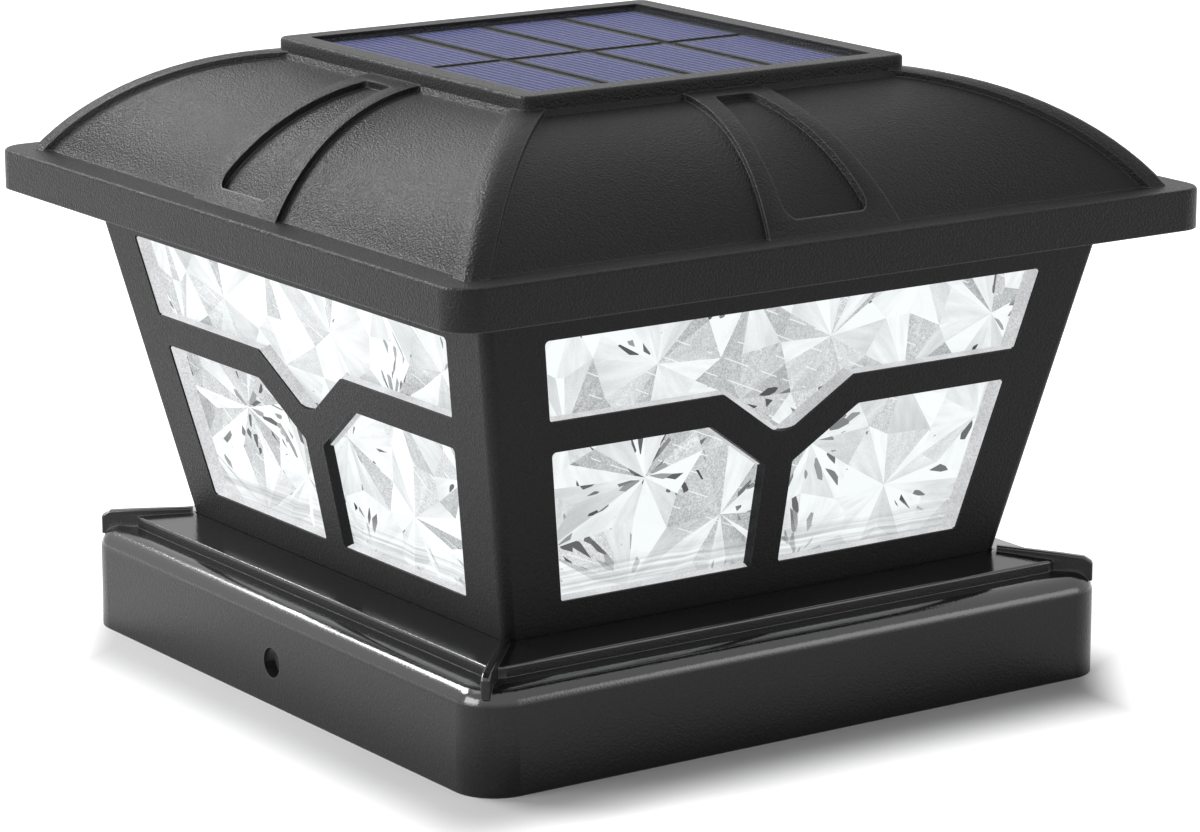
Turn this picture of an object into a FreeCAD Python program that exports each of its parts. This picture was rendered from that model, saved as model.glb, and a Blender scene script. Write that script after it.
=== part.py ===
import FreeCAD, Part
import math
import os

# Solar deck post cap light, in millimetres.
# The origin is the centre of the base at its bottom edge, and +Z is up along the post.
# The base slips over a square post. On its deck stands an inverted pyramid of a lantern frame with
# three windows in each face. A roof with curved faces lies on the frame and carries the solar panel.
# The battery, the control board and the lamps stand on the deck, and are reached from below.

V = FreeCAD.Vector
UP = V(0, 0, 1)
CENTRE = V(0, 0, 0)

# ---- for every piece ----
PAST = 1.0                   # how far a cutter reaches past what it cuts
ROOT = 0.3                   # how far a rib or a boss reaches into what carries it
BORE_BOTTOM = 1.0            # plastic left under a blind bore
SCREW_SHORT = 0.5            # a screw's end to the bottom of its bore

# ---- base collar ----
POST_HALF = 69.85            # half of a 139.7 mm square post
POST_PLAY = 2.45             # room on each side of the post
BASE_WALL = 2.7
BASE_HALF = POST_HALF + POST_PLAY + BASE_WALL
BASE_CORNER_R = 8.55
SEAT_Z = 18.3                # where the top of the post stops
SHELF_T = 2.4                # plastic over the post's rim
SHOULDER_Z = SEAT_Z + SHELF_T
SHOULDER_R = 4.0
LIP_INSET = 7.0              # skirt face to the raised lip
LIP_HALF = BASE_HALF - LIP_INSET
LIP_CORNER_R = 3.2
LIP_H = 2.2
LIP_Z = SHOULDER_Z + LIP_H
LIP_EDGE_R = 0.6
SEAT_RING_W = 7.3            # width of the ring that bears on the post
DECK_RISE = 1.8              # deck above the shoulder
DECK_TOP_Z = SHOULDER_Z + DECK_RISE
DECK_T = 1.6
SCREW_HOLE_R = 3.0
SCREW_HOLE_Z = 8.7
FIN_T = 1.8
FIN_EDGE_R = 0.5
FIN_RISE = 1.05              # fin above the sloping top of the base
FIN_FALL_LIP = 1.0           # its crest falls this much as far as the lip
FIN_FALL_CORNER = 1.45       # and this much as far as the corner
FIN_CREST_R = 3.0
FIN_END_R = 0.9
FIN_END_H = 1.05             # height of its blunt end
FIN_END_BACK = 1.2

# ---- outside of the lantern and the roof ----
FASCIA_HALF = 87.4
EAVE_W = 14.395              # the roof beyond the top of the frame
FOOT_INSET = 9.5             # lip of the base to the foot of the frame
LANTERN_H = 68.8             # foot of the frame to the soffit
SOFFIT_SINK = 0.5            # soffit above the lower edge of the fascia
FASCIA_H = 8.1
ROOF_H = 24.4                # fascia to the top of the solar housing

# ---- lantern frame ----
GASKET_T = 0.6
GASKET_W = 2.0
GASKET_PLAY = 0.1
FRAME_FOOT_Z = DECK_TOP_Z + GASKET_T
SOFFIT_LOW_Z = FRAME_FOOT_Z + LANTERN_H
FRAME_FOOT_HALF = LIP_HALF - FOOT_INSET
FRAME_TOP_HALF = FASCIA_HALF - EAVE_W
FRAME_LEAN = (FRAME_TOP_HALF - FRAME_FOOT_HALF) / LANTERN_H
FRAME_WALL = 2.4
FRAME_CORNER_R = 2.2
FRAME_INSIDE_R = 0.6
FOOT_SEAM = 0.45             # gap between the base and the foot of the frame
SLOPE_RISE = 1.3             # from the lip up to the frame
FOOT_RISE_Z = LIP_Z + SLOPE_RISE
BOSS_R = 3.0
BOSS_INSET = 5.9             # boss axis to the outside of the frame
TOP_BOSS_BACK = 1.5          # the upper bosses stand this much further in
BOSS_WEB_T = 1.6
FRAME_BOSS_L = 7.5
LEDGE_RISE = 3.3             # ledge that carries the panels, above the frame's foot
LEDGE_Z = FRAME_FOOT_Z + LEDGE_RISE
LEDGE_T = 1.4
LEDGE_W = 3.2

# ---- windows, on the outside of a face ----
FASCIA_LOW_Z = SOFFIT_LOW_Z - SOFFIT_SINK
SILL_H = 7.5                 # foot of the frame to the lower windows
LINTEL_H = 7.4               # upper window to the fascia
UPPER_WIN_H = 16.3
RAIL_H = 6.2                 # bar between the upper and the lower windows
WIN_LOW_Z = FRAME_FOOT_Z + SILL_H
WIN_TOP_Z = FASCIA_LOW_Z - LINTEL_H
RAIL_TOP_Z = WIN_TOP_Z - UPPER_WIN_H
RAIL_LOW_Z = RAIL_TOP_Z - RAIL_H
WIN_LOW_SIDE = 12.88         # windows to the frame's corner, at their lower edge
WIN_TOP_SIDE = 13.04         # and at their upper edge
WIN_LOW_HALF = FRAME_FOOT_HALF + FRAME_LEAN * (WIN_LOW_Z - FRAME_FOOT_Z) - WIN_LOW_SIDE
WIN_TOP_HALF = FRAME_FOOT_HALF + FRAME_LEAN * (WIN_TOP_Z - FRAME_FOOT_Z) - WIN_TOP_SIDE
WIN_LEAN = (WIN_TOP_HALF - WIN_LOW_HALF) / (WIN_TOP_Z - WIN_LOW_Z)
V_TURN_HALF = 15.4           # where the upper window starts to dip
V_SLOPE = 0.697
V_TIP_R = 6.0
V_BAR = 2.05                 # the lower windows' slanted corners start this much further out
LOW_INNER_HALF = V_TURN_HALF + V_BAR
MULLION_HALF = 3.25
WIN_CORNER_R = 0.8

# ---- diffuser panels ----
PANEL_T = 2.6
PANEL_FIT = 0.15
PANEL_MARGIN = 1.6           # panel beyond the windows, each side
PANEL_LOW_GAP = 0.2
PANEL_TOP_GAP = 0.4
GUIDE_T = 1.4
GUIDE_H = 4.2

# ---- roof ----
FASCIA_TOP_Z = FASCIA_LOW_Z + FASCIA_H
FASCIA_CORNER_R = 6.3
FASCIA_EDGE_R = 0.7
HOUSING_HALF = 45.1
HOUSING_TOP_Z = FASCIA_TOP_Z + ROOF_H
ROOF_WALL = 2.4
ROOF_ARC_R = 49.9            # hip ribs and middle bands
FIELD_SINK = 1.2             # side fields below them
ROOF_LEDGE_W = 5.695         # foot of the curve to the outside of the fascia
ROOF_TOP_DROP = 2.638        # the curve meets the housing this much below its top
SUNK_PANEL_DEPTH = 1.4
RIB_W = 6.6
CREST_DROP = 0.45            # how far the crest is brought in from the sharp hip
CREST_POINTS = 9
BAND_TOP_HALF = 8.9
BAND_MID_HALF = 11.1
BAND_FOOT_HALF = 16.0
BAND_UNDER = 1.1             # the band reaches this far under the housing
BAND_MID_OUT = 2.25          # where its sides are BAND_MID_HALF apart, out from its middle
BAND_PAST = 1.795            # past the foot of the curve
SUNK_TOP_GAP = 3.7           # sunk panel to the housing
SUNK_FOOT_GAP = 2.105        # and to the foot of the curve
SUNK_TOP_HALF = 4.4
SUNK_FOOT_HALF = 10.0
SUNK_TOP_R = 1.0
SUNK_FOOT_R = 2.2

# ---- solar housing and panel ----
HOUSING_CORNER_R = 2.4
HOUSING_EDGE_R = 0.8
HOUSING_FLARE = 1.1
FLARE_DROP = 2.8             # top of the flare below the housing's top
FLARE_H = 1.7
RIM_W = 4.9
POCKET_CORNER_R = 0.8
PANEL_RECESS = 0.6
COVER_T = 0.9
CELL_T = 0.3
BACKING_T = 1.5
SOLAR_GASKET_T = 0.5
SOLAR_GASKET_W = 3.7
SOLAR_FIT = 0.3
SOLAR_CORNER_R = 0.6
CELL_COLUMNS = 4
CELL_ROWS = 2
CELL_GAP_X = 1.8
CELL_GAP_Y = 2.2
CELL_BORDER_X = 2.0          # outer cells to the edge of the sheet
CELL_BORDER_Y = 1.6
LEAD_HOLE_R = 4.0
LEAD_HOLE_Y = 28.0
LEAD_R = 0.8
LEAD_APART = 1.3             # middle line of each lead to the line between them

# ---- soffit and reflectors ----
SOFFIT_T = 2.0
SOFFIT_FIT = 0.3
SOFFIT_OPEN_R = 2.0
ROOF_BOSS_IN = 8.9           # boss axis to the outside of the fascia
ROOF_BOSS_R = 3.2
ROOF_BOSS_COVER = 1.0        # top of the bosses below the top of the fascia
REFLECTOR_T = 1.2
REFLECTOR_BACK = 3.6         # edge of the reflector to the axes of the frame's upper bosses
REFLECTOR_SEAT_W = 5.0       # how far it lies on the soffit
REFLECTOR_CORNER_R = 6.0
REFLECTOR_FOLD_IN = 13.0     # fold to the edge
REFLECTOR_FOLD_R = 3.0
REFLECTOR_TOP_HALF = 20.0
REFLECTOR_RISE = 6.0
REFLECTOR_SCREW_IN = 2.4     # screws to the edge
REFLECTOR_HOLE_IN = 8.8      # hole for the leads to the edges
REFLECTOR_HOLE_R = 3.0
FLOOR_SHEET_T = 0.6
FLOOR_SHEET_GAP = 0.6
FLOOR_CORNER_R = 1.0

# ---- screws ----
SCREW_R = 1.4
SCREW_PLAY = 0.1
HEAD_R = 2.7
HEAD_H = 1.6
HEAD_PLAY = 0.3
SMALL_SCREW_R = 0.9
SMALL_HEAD_R = 1.8
SMALL_HEAD_H = 1.1
CROSS_W = 0.8
CROSS_DEPTH = 0.9

# ---- battery ----
BATTERY_R = 9.1
BATTERY_L = 65.0
BATTERY_EDGE_R = 0.8
BATTERY_LIFT = 0.5           # battery above the deck
BATTERY_SIDE = 1.1           # room on each side of it
BATTERY_OVER = 1.5           # and over it
NUB_R = 2.9
NUB_L = 1.4
CONTACT_T = 0.5
CONTACT_W = 12.0
CONTACT_H = 14.0
CONTACT_REACH = 4.2          # contact plate to the battery's end
DIMPLE_FOOT_R = 4.0
DIMPLE_TIP_R = 2.2
SPRING_WIRE_R = 0.45
SPRING_TURNS = 3
SPRING_POINTS = 8            # points on the coil's middle line in each turn
SPRING_END_R = 3.0
SPRING_FOOT_R = 5.2

# ---- light engine ----
TUB_WALL = 1.8
TUB_HALF_X = BATTERY_L / 2 + CONTACT_REACH + CONTACT_T + TUB_WALL
TUB_HALF_Y = 23.0
TUB_H = BATTERY_LIFT + 2 * BATTERY_R + BATTERY_OVER + TUB_WALL
TUB_CORNER_R = 3.0
TUB_EDGE_R = 1.0
EAR_L = 8.5
EAR_W = 9.0
EAR_T = 2.0
EAR_R = 1.5
EAR_IN = 7.0                 # middle of an ear to the side of the tub
EAR_SCREW_OUT = 4.5
DECK_BOSS_R = 2.8
DECK_BOSS_H = 2.4
DECK_BORE_BOTTOM = 0.6
LED_BOARD_HALF_X = 27.0
LED_BOARD_IN_Y = 3.0         # lamp board to the side of the tub
LED_BOARD_R = 2.0
BOARD_T = 1.6
LED_IN_X = 9.0               # lamps to the edges of their board
LED_IN_Y = 8.0
LED_SIZE = 5.0
LED_H = 1.5
LED_DOME_R = 2.0
LED_SCREW_IN = 3.5           # screws to the board's ends
CONTROL_HALF_X = 31.0
CONTROL_FIT = 0.2            # control board to the side wall
CONTROL_FRONT_GAP = 2.0      # and to the wall between the bays
CONTROL_LIFT = 9.7           # control board above the deck
POST_R = 2.5
POST_IN_X = 4.5              # posts to the board's ends
POST_SOLID = 3.0             # solid part of a post, over its bore
CONTROL_SCREW_IN = 3.5       # board screws to the board's back edge
BOARD_SCREW_BITE = 4.0
PIN_R = 0.4
PIN_PITCH = 2.54
PIN_COUNT = 4
PIN_X = -8.0
PIN_PLAY = 0.1
PIN_BORE_PLAY = 0.3          # round each pin in the tub's top
PIN_PROUD = 0.8              # beyond each board
CHIP_X = -18.0
CHIP_HALF_X = 2.5
CHIP_HALF_Y = 2.0
CHIP_H = 1.5
CHIP_CORNER_R = 0.2
CHIP_LEGS = 4
CHIP_LEG_PITCH = 1.27
CHIP_LEG_W = 0.4
CHIP_LEG_REACH = 3.0
INDUCTOR_X = 8.0
INDUCTOR_R = 3.6
INDUCTOR_H = 4.5
CAPACITOR_X = 18.0
CAPACITOR_R = 2.6
CAPACITOR_H = 5.6
CAPACITOR_EDGE_R = 0.4
LEAD_NOTCH_R = 3.4
LEAD_NOTCH_APART = 3.1       # in front of the board's screws
LEAD_END_APART = 5.5         # ends of the leads in front of the board's screws
LEAD_NOTCH_DROP = 4.5        # below the top of the tub

# ---- battery cover and its rails ----
COVER_PLATE_T = 1.2
COVER_GAP = 0.12
COVER_CORNER_R = 1.2
COVER_LAP_X = 2.9            # cover beyond the opening
COVER_LAP_LOW_Y = 2.6
COVER_LAP_HIGH_Y = 2.8
COVER_TRAVEL = 25.0
BAY_OPEN_END = 1.7           # deck left inside the bay's end walls
BAY_OPEN_EDGE = 0.8          # and inside its side walls
RAIL_WALL = 1.3
RAIL_SIDE_GAP = 0.2
RAIL_END_GAP = 0.6           # rails beyond the open cover
RAIL_LIP_W = 2.0
RAIL_LIP_T = 1.0
GRIP_COUNT = 4
GRIP_PITCH = 2.4
GRIP_HALF_X = 12.0
GRIP_T = 1.0
GRIP_H = 0.9
GRIP_R = 0.3

# ---- power button ----
BUTTON_X = 20.0
BUTTON_R = 3.2
BUTTON_PLAY = 0.4
BUTTON_EDGE_R = 0.5
BUTTON_PROUD = 1.9           # below the deck
BUTTON_TRAVEL = 1.2
BUTTON_FLANGE_LAP = 1.0      # flange beyond the hole
BUTTON_FLANGE_T = 1.0
BUTTON_FLOAT = 0.1
STEM_R = 1.6
STEM_L = 3.9
STEM_PLAY = 0.3
SWITCH_HALF = 4.5
SWITCH_CLEAR = 0.4

# ---- levels and places worked out from the sizes above ----
SOFFIT_TOP_Z = SOFFIT_LOW_Z + SOFFIT_T
TOP_BOSS_AT = FRAME_TOP_HALF - BOSS_INSET - TOP_BOSS_BACK
FLANGE_TOP_Z = SOFFIT_TOP_Z + REFLECTOR_T
REFLECTOR_HALF = TOP_BOSS_AT - REFLECTOR_BACK
REFLECTOR_FOLD_HALF = REFLECTOR_HALF - REFLECTOR_FOLD_IN
REFLECTOR_SCREW_AT = REFLECTOR_HALF - REFLECTOR_SCREW_IN
REFLECTOR_HOLE_AT = REFLECTOR_HALF - REFLECTOR_HOLE_IN
SOFFIT_OPEN_HALF = REFLECTOR_HALF - REFLECTOR_SEAT_W
ROOF_BOSS_AT = FASCIA_HALF - ROOF_BOSS_IN
ROOF_BOSS_TOP_Z = FASCIA_TOP_Z - ROOF_BOSS_COVER
FLARE_TOP_Z = HOUSING_TOP_Z - FLARE_DROP
FLARE_LOW_Z = FLARE_TOP_Z - FLARE_H
POCKET_HALF = HOUSING_HALF - RIM_W
COVER_TOP_Z = HOUSING_TOP_Z - PANEL_RECESS
BACKING_TOP_Z = COVER_TOP_Z - COVER_T
BACKING_LOW_Z = BACKING_TOP_Z - BACKING_T
POCKET_Z = BACKING_LOW_Z - SOLAR_GASKET_T
ROOF_CEILING_Z = POCKET_Z - ROOF_WALL
SOLAR_HALF = POCKET_HALF - SOLAR_FIT
CELL_W = (2 * (SOLAR_HALF - CELL_BORDER_X) - (CELL_COLUMNS - 1) * CELL_GAP_X) / CELL_COLUMNS
CELL_L = (2 * (SOLAR_HALF - CELL_BORDER_Y) - (CELL_ROWS - 1) * CELL_GAP_Y) / CELL_ROWS
TUB_TOP_Z = DECK_TOP_Z + TUB_H
TUB_CEILING_Z = TUB_TOP_Z - TUB_WALL
BAY_HALF_X = TUB_HALF_X - TUB_WALL
BAY_Y0 = -TUB_HALF_Y + TUB_WALL
BAY_Y1 = BAY_Y0 + 2 * (BATTERY_R + BATTERY_SIDE)
DIVIDER_Y = BAY_Y1 + TUB_WALL / 2
BOARD_BAY_Y0 = BAY_Y1 + TUB_WALL
BOARD_BAY_Y1 = TUB_HALF_Y - TUB_WALL
BATTERY_Y = (BAY_Y0 + BAY_Y1) / 2
BATTERY_Z = DECK_TOP_Z + BATTERY_LIFT + BATTERY_R
EAR_AT_Y = TUB_HALF_Y - EAR_IN
LED_BOARD_HALF_Y = TUB_HALF_Y - LED_BOARD_IN_Y
LED_BOARD_TOP_Z = TUB_TOP_Z + BOARD_T
LED_AT_X = LED_BOARD_HALF_X - LED_IN_X
LED_AT_Y = LED_BOARD_HALF_Y - LED_IN_Y
LED_SCREW_X = LED_BOARD_HALF_X - LED_SCREW_IN
CONTROL_HALF_Y = (BOARD_BAY_Y1 - CONTROL_FIT - BOARD_BAY_Y0 - CONTROL_FRONT_GAP) / 2
CONTROL_Y = BOARD_BAY_Y1 - CONTROL_FIT - CONTROL_HALF_Y
CONTROL_LOW_Z = DECK_TOP_Z + CONTROL_LIFT
CONTROL_TOP_Z = CONTROL_LOW_Z + BOARD_T
CONTROL_SCREW_Y = CONTROL_Y + CONTROL_HALF_Y - CONTROL_SCREW_IN
POST_AT_X = CONTROL_HALF_X - POST_IN_X
LEAD_NOTCH_Y = CONTROL_SCREW_Y - LEAD_NOTCH_APART
LEAD_END_Y = CONTROL_SCREW_Y - LEAD_END_APART
LEAD_NOTCH_Z = TUB_TOP_Z - LEAD_NOTCH_DROP
BUTTON_Y = CONTROL_Y
BUTTON_HOLE_R = BUTTON_R + BUTTON_PLAY
BUTTON_FLANGE_R = BUTTON_HOLE_R + BUTTON_FLANGE_LAP
BAY_OPEN_HALF_X = BAY_HALF_X - BAY_OPEN_END
BAY_OPEN_Y0 = BAY_Y0 + BAY_OPEN_EDGE
BAY_OPEN_Y1 = BAY_Y1 - BAY_OPEN_EDGE
COVER_HALF_X = BAY_OPEN_HALF_X + COVER_LAP_X
COVER_LOW_Y = BAY_OPEN_Y0 - COVER_LAP_LOW_Y
COVER_HIGH_Y = BAY_OPEN_Y1 + COVER_LAP_HIGH_Y
DECK_LOW_Z = DECK_TOP_Z - DECK_T
COVER_RAIL_LOW_Z = DECK_LOW_Z - COVER_GAP * 2 - COVER_PLATE_T - RAIL_LIP_T

# ---- curve of the roof: its centre, from its radius and the two ends of its chord ----
ROOF_FOOT_T = FASCIA_HALF - ROOF_LEDGE_W
CHORD_T = ROOF_FOOT_T - HOUSING_HALF
CHORD_Z = HOUSING_TOP_Z - ROOF_TOP_DROP - FASCIA_TOP_Z
CHORD = math.hypot(CHORD_T, CHORD_Z)
CHORD_BACK = math.sqrt(ROOF_ARC_R ** 2 - CHORD ** 2 / 4)
ARC_CENTRE_T = HOUSING_HALF + CHORD_T / 2 - CHORD_BACK * CHORD_Z / CHORD
ARC_CENTRE_Z = FASCIA_TOP_Z + CHORD_Z / 2 - CHORD_BACK * CHORD_T / CHORD
FIELD_ARC_R = ROOF_ARC_R - FIELD_SINK
BAND_TOP_T = HOUSING_HALF - BAND_UNDER
BAND_FOOT_T = ROOF_FOOT_T + BAND_PAST
BAND_MID_T = (BAND_TOP_T + BAND_FOOT_T) / 2 + BAND_MID_OUT
SUNK_TOP_T = HOUSING_HALF + SUNK_TOP_GAP
SUNK_FOOT_T = ROOF_FOOT_T - SUNK_FOOT_GAP

# Points on the middle line of the two leads, and the way in which the leads lie beside each other there:
# down out of the panel, over the reflector, down the lantern's corner and into the housing.
LEAD_ROUTE = [
    (0.0, LEAD_HOLE_Y, BACKING_LOW_Z, 1.0, 0.0),
    (0.0, LEAD_HOLE_Y, FLANGE_TOP_Z + 9.6, 1.0, 0.0),
    (7.0, 33.0, FLANGE_TOP_Z + 7.6, 0.6, -0.8),
    (22.0, 39.0, FLANGE_TOP_Z + 6.8, 0.4, -0.9),
    (38.0, 44.0, FLANGE_TOP_Z + 6.4, 0.5, -0.85),
    (50.0, 52.0, FLANGE_TOP_Z + 4.4, 0.7, -0.7),
    (REFLECTOR_HOLE_AT, REFLECTOR_HOLE_AT, SOFFIT_LOW_Z, 0.7, -0.7),
    (52.4, 52.4, DECK_TOP_Z + 53.5, 0.7, -0.7),
    (51.0, 48.0, DECK_TOP_Z + 39.5, 0.7, -0.7),
    (49.5, 38.0, DECK_TOP_Z + 27.5, 0.7, -0.7),
    (TUB_HALF_X + 8.0, TUB_HALF_Y + 2.0, DECK_TOP_Z + 20.0, 0.3, -1.0),
    (TUB_HALF_X + 2.0, LEAD_NOTCH_Y + 1.6, LEAD_NOTCH_Z + 1.0, 0.0, -1.0),
    (TUB_HALF_X - 4.5, LEAD_NOTCH_Y - 1.4, LEAD_NOTCH_Z + 0.4, 0.0, -1.0),
    (CONTROL_HALF_X - 2.8, LEAD_END_Y + 0.4, LEAD_NOTCH_Z - 1.0, 0.0, -1.0),
    (CONTROL_HALF_X - 5.5, LEAD_END_Y, CONTROL_TOP_Z, 0.0, -1.0),
]


# ---------------------------------------------------------------- helpers

def rounded_rect(half_x, half_y, r, z, cx=0.0, cy=0.0):
    """Wire of a rectangle with round corners, flat at height z."""
    pts = [(cx + half_x, cy + half_y), (cx - half_x, cy + half_y),
           (cx - half_x, cy - half_y), (cx + half_x, cy - half_y)]
    flat = rounded_polygon(pts, [r] * len(pts))
    flat.translate(V(0, 0, z))
    return flat


def counterclockwise(points, radii):
    """The same corners, in the order that turns left all the way round."""
    area = sum(a[0] * b[1] - b[0] * a[1] for a, b in zip(points, points[1:] + points[:1]))
    return (points, radii) if area > 0 else (points[::-1], radii[::-1])


def rounded_polygon(points, radii):
    """Closed wire in the XY plane whose corners are arcs of the given radii."""
    points, radii = counterclockwise(points, radii)
    count = len(points)
    cuts = []
    for i in range(count):
        p = V(points[i][0], points[i][1], 0)
        before = V(points[i - 1][0], points[i - 1][1], 0) - p
        after = V(points[(i + 1) % count][0], points[(i + 1) % count][1], 0) - p
        before.normalize()
        after.normalize()
        if radii[i] <= 0:
            cuts.append((p, None, p))
            continue
        half_turn = before.getAngle(after) / 2
        back = radii[i] / math.tan(half_turn)
        middle = before + after
        middle.normalize()
        centre = p + middle * (radii[i] / math.sin(half_turn))
        cuts.append((p + before * back, centre - middle * radii[i], p + after * back))
    edges = []
    for i in range(count):
        start, arc_mid, end = cuts[i]
        if arc_mid is not None:
            edges.append(Part.Arc(start, arc_mid, end).toShape())
        following = cuts[(i + 1) % count][0]
        if (following - end).Length > 1e-6:
            edges.append(Part.LineSegment(end, following).toShape())
    return Part.Wire(edges)


def plate(half_x, half_y, r, z0, z1, cx=0.0, cy=0.0):
    """Upright prism on a rounded rectangle."""
    return Part.Face(rounded_rect(half_x, half_y, r, z0, cx, cy)).extrude(V(0, 0, z1 - z0))


def square(half, r, z0, z1):
    return plate(half, half, r, z0, z1)


def flat_sided(low, high):
    """Solid with flat faces between two rings of four corners."""
    faces = [Part.Face(Part.makePolygon(ring + ring[:1])) for ring in (low[::-1], high)]
    for i in range(4):
        j = (i + 1) % 4
        faces.append(Part.Face(Part.makePolygon([low[i], low[j], high[j], high[i], low[i]])))
    body = Part.makeSolid(Part.makeShell(faces))
    return body if body.Volume > 0 else body.reversed()


def taper(half0, z0, half1, z1, r):
    """Four-sided frustum with round corners."""
    rings = [[V(x, y, z) for x, y in corners(half)] for half, z in ((half0, z0), (half1, z1))]
    body = flat_sided(rings[0], rings[1])
    return body.makeFillet(r, edges_where(body, on_level((z0 + z1) / 2)))


def block(x0, x1, y0, y1, z0, z1):
    return Part.makeBox(x1 - x0, y1 - y0, z1 - z0, V(x0, y0, z0))


def rod(r, z0, z1, x=0.0, y=0.0):
    return Part.makeCylinder(r, z1 - z0, V(x, y, z0))


def turned(shape, quarter):
    """Copy turned by quarter turns about the post axis."""
    copy = shape.copy()
    copy.rotate(CENTRE, UP, 90 * quarter)
    return copy


def four(shape):
    return [turned(shape, quarter) for quarter in range(4)]


def corners(at):
    return [(at, at), (-at, at), (-at, -at), (at, -at)]


def edges_where(shape, test):
    """Edges whose middle point passes the test."""
    found = []
    for edge in shape.Edges:
        if test(edge.valueAt((edge.FirstParameter + edge.LastParameter) / 2)):
            found.append(edge)
    return found


def on_level(z):
    return lambda p: abs(p.z - z) < 1e-4


def save(name, shape):
    """Write one sub-part, with its volume and number of solids for the record."""
    clean = shape.removeSplitter() if shape.ShapeType != "Compound" else shape
    clean.exportStep("parts/" + name + ".step")
    print(name, "solids", len(clean.Solids), "volume", round(clean.Volume, 2), "valid", clean.isValid())


def group(shapes):
    """Several separate solids that share one node."""
    return Part.makeCompound(shapes)


def frame_half(z):
    """Outside half-width of the lantern frame at height z."""
    return FRAME_FOOT_HALF + FRAME_LEAN * (z - FRAME_FOOT_Z)


def window_half(z):
    """Outer edge of the windows at height z, out from the middle of a face."""
    return WIN_LOW_HALF + WIN_LEAN * (z - WIN_LOW_Z)


def arc_t(radius, z):
    """Distance from the axis at which the roof's curve of this radius passes height z."""
    return ARC_CENTRE_T + math.sqrt(radius ** 2 - (z - ARC_CENTRE_Z) ** 2)


def arc_z(radius, t):
    return ARC_CENTRE_Z + math.sqrt(radius ** 2 - (t - ARC_CENTRE_T) ** 2)


def screw(z_head, direction, length, x, y, r=SCREW_R, head_r=HEAD_R, head_h=HEAD_H):
    """Pan-head screw with a cross recess. The head's underside is at z_head."""
    shank = rod(r, 0, length)
    head = rod(head_r, -head_h, 0)
    head = head.makeFillet(head_h * 0.45, edges_where(head, on_level(-head_h)))
    body = shank.fuse(head)
    reach = head_r * 0.62
    for half_x, half_y in ((reach, CROSS_W / 2), (CROSS_W / 2, reach)):
        floor = CROSS_DEPTH * head_h / HEAD_H - head_h
        body = body.cut(block(-half_x, half_x, -half_y, half_y, -head_h - PAST, floor))
    if direction < 0:
        body.rotate(CENTRE, V(1, 0, 0), 180)
    body.translate(V(x, y, z_head))
    return body


def small_screw(z_head, direction, length, x, y):
    return screw(z_head, direction, length, x, y, SMALL_SCREW_R, SMALL_HEAD_R, SMALL_HEAD_H)


# ---------------------------------------------------------------- base

def is_fin_side(edge, past_foot):
    """True for the upper edges on the two sides of a fin, beyond its foot."""
    p = edge.valueAt((edge.FirstParameter + edge.LastParameter) / 2)
    return abs(abs(p.y) - FIN_T / 2) < 1e-4 and p.z > SHOULDER_Z and p.x > past_foot


def fin():
    """Thin web on the diagonal, from the corner of the shoulder to the foot of the lantern."""
    corner_t = BASE_HALF - BASE_CORNER_R * (1 - math.sqrt(0.5))
    foot_t = frame_half(FOOT_RISE_Z) + FOOT_SEAM * 0.4
    top_z = FOOT_RISE_Z + FIN_RISE
    root_z = DECK_TOP_Z - ROOT
    low_z = SEAT_Z + 2 * ROOT
    step_t = LIP_HALF - FIN_T
    end_z = top_z - FIN_FALL_CORNER
    outline = [(foot_t, root_z), (foot_t, top_z), (LIP_HALF, top_z - FIN_FALL_LIP),
               (corner_t - FIN_END_BACK, end_z), (corner_t, end_z - FIN_END_H), (corner_t, low_z),
               (step_t, low_z), (step_t, root_z)]
    spread = math.sqrt(2)
    radii = [0, 0, FIN_CREST_R, FIN_END_R, FIN_END_R, 0, 0, 0]
    wire = rounded_polygon([(t * spread, z) for t, z in outline], radii)
    web = Part.Face(wire).extrude(V(0, 0, FIN_T))
    web.translate(V(0, 0, -FIN_T / 2))
    web.rotate(CENTRE, V(1, 0, 0), 90)
    past_foot = foot_t * spread + FIN_EDGE_R
    sides = [edge for edge in web.Edges if is_fin_side(edge, past_foot)]
    web = web.makeFillet(FIN_EDGE_R, sides)
    web.rotate(CENTRE, UP, 45)
    return web


def cover_rails():
    """Two lipped rails under the deck, and the stop that the closed cover meets."""
    low_z = COVER_RAIL_LOW_Z
    lip_top = low_z + RAIL_LIP_T
    side = COVER_HALF_X + RAIL_SIDE_GAP
    y0 = COVER_LOW_Y - COVER_TRAVEL - RAIL_END_GAP
    y1 = COVER_HIGH_Y + RAIL_SIDE_GAP
    pieces = []
    for sign in (-1, 1):
        wall = block(side, side + RAIL_WALL, y0, y1, low_z, DECK_LOW_Z)
        lip = block(side - RAIL_LIP_W, side + RAIL_WALL, y0, y1, low_z, lip_top)
        rail = wall.fuse(lip)
        if sign < 0:
            rail.rotate(CENTRE, UP, 180)
            rail.translate(V(0, y0 + y1, 0))
        pieces.append(rail)
    pieces.append(block(-side - RAIL_WALL, side + RAIL_WALL, y1, y1 + RAIL_WALL, low_z, DECK_LOW_Z))
    return pieces


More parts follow.
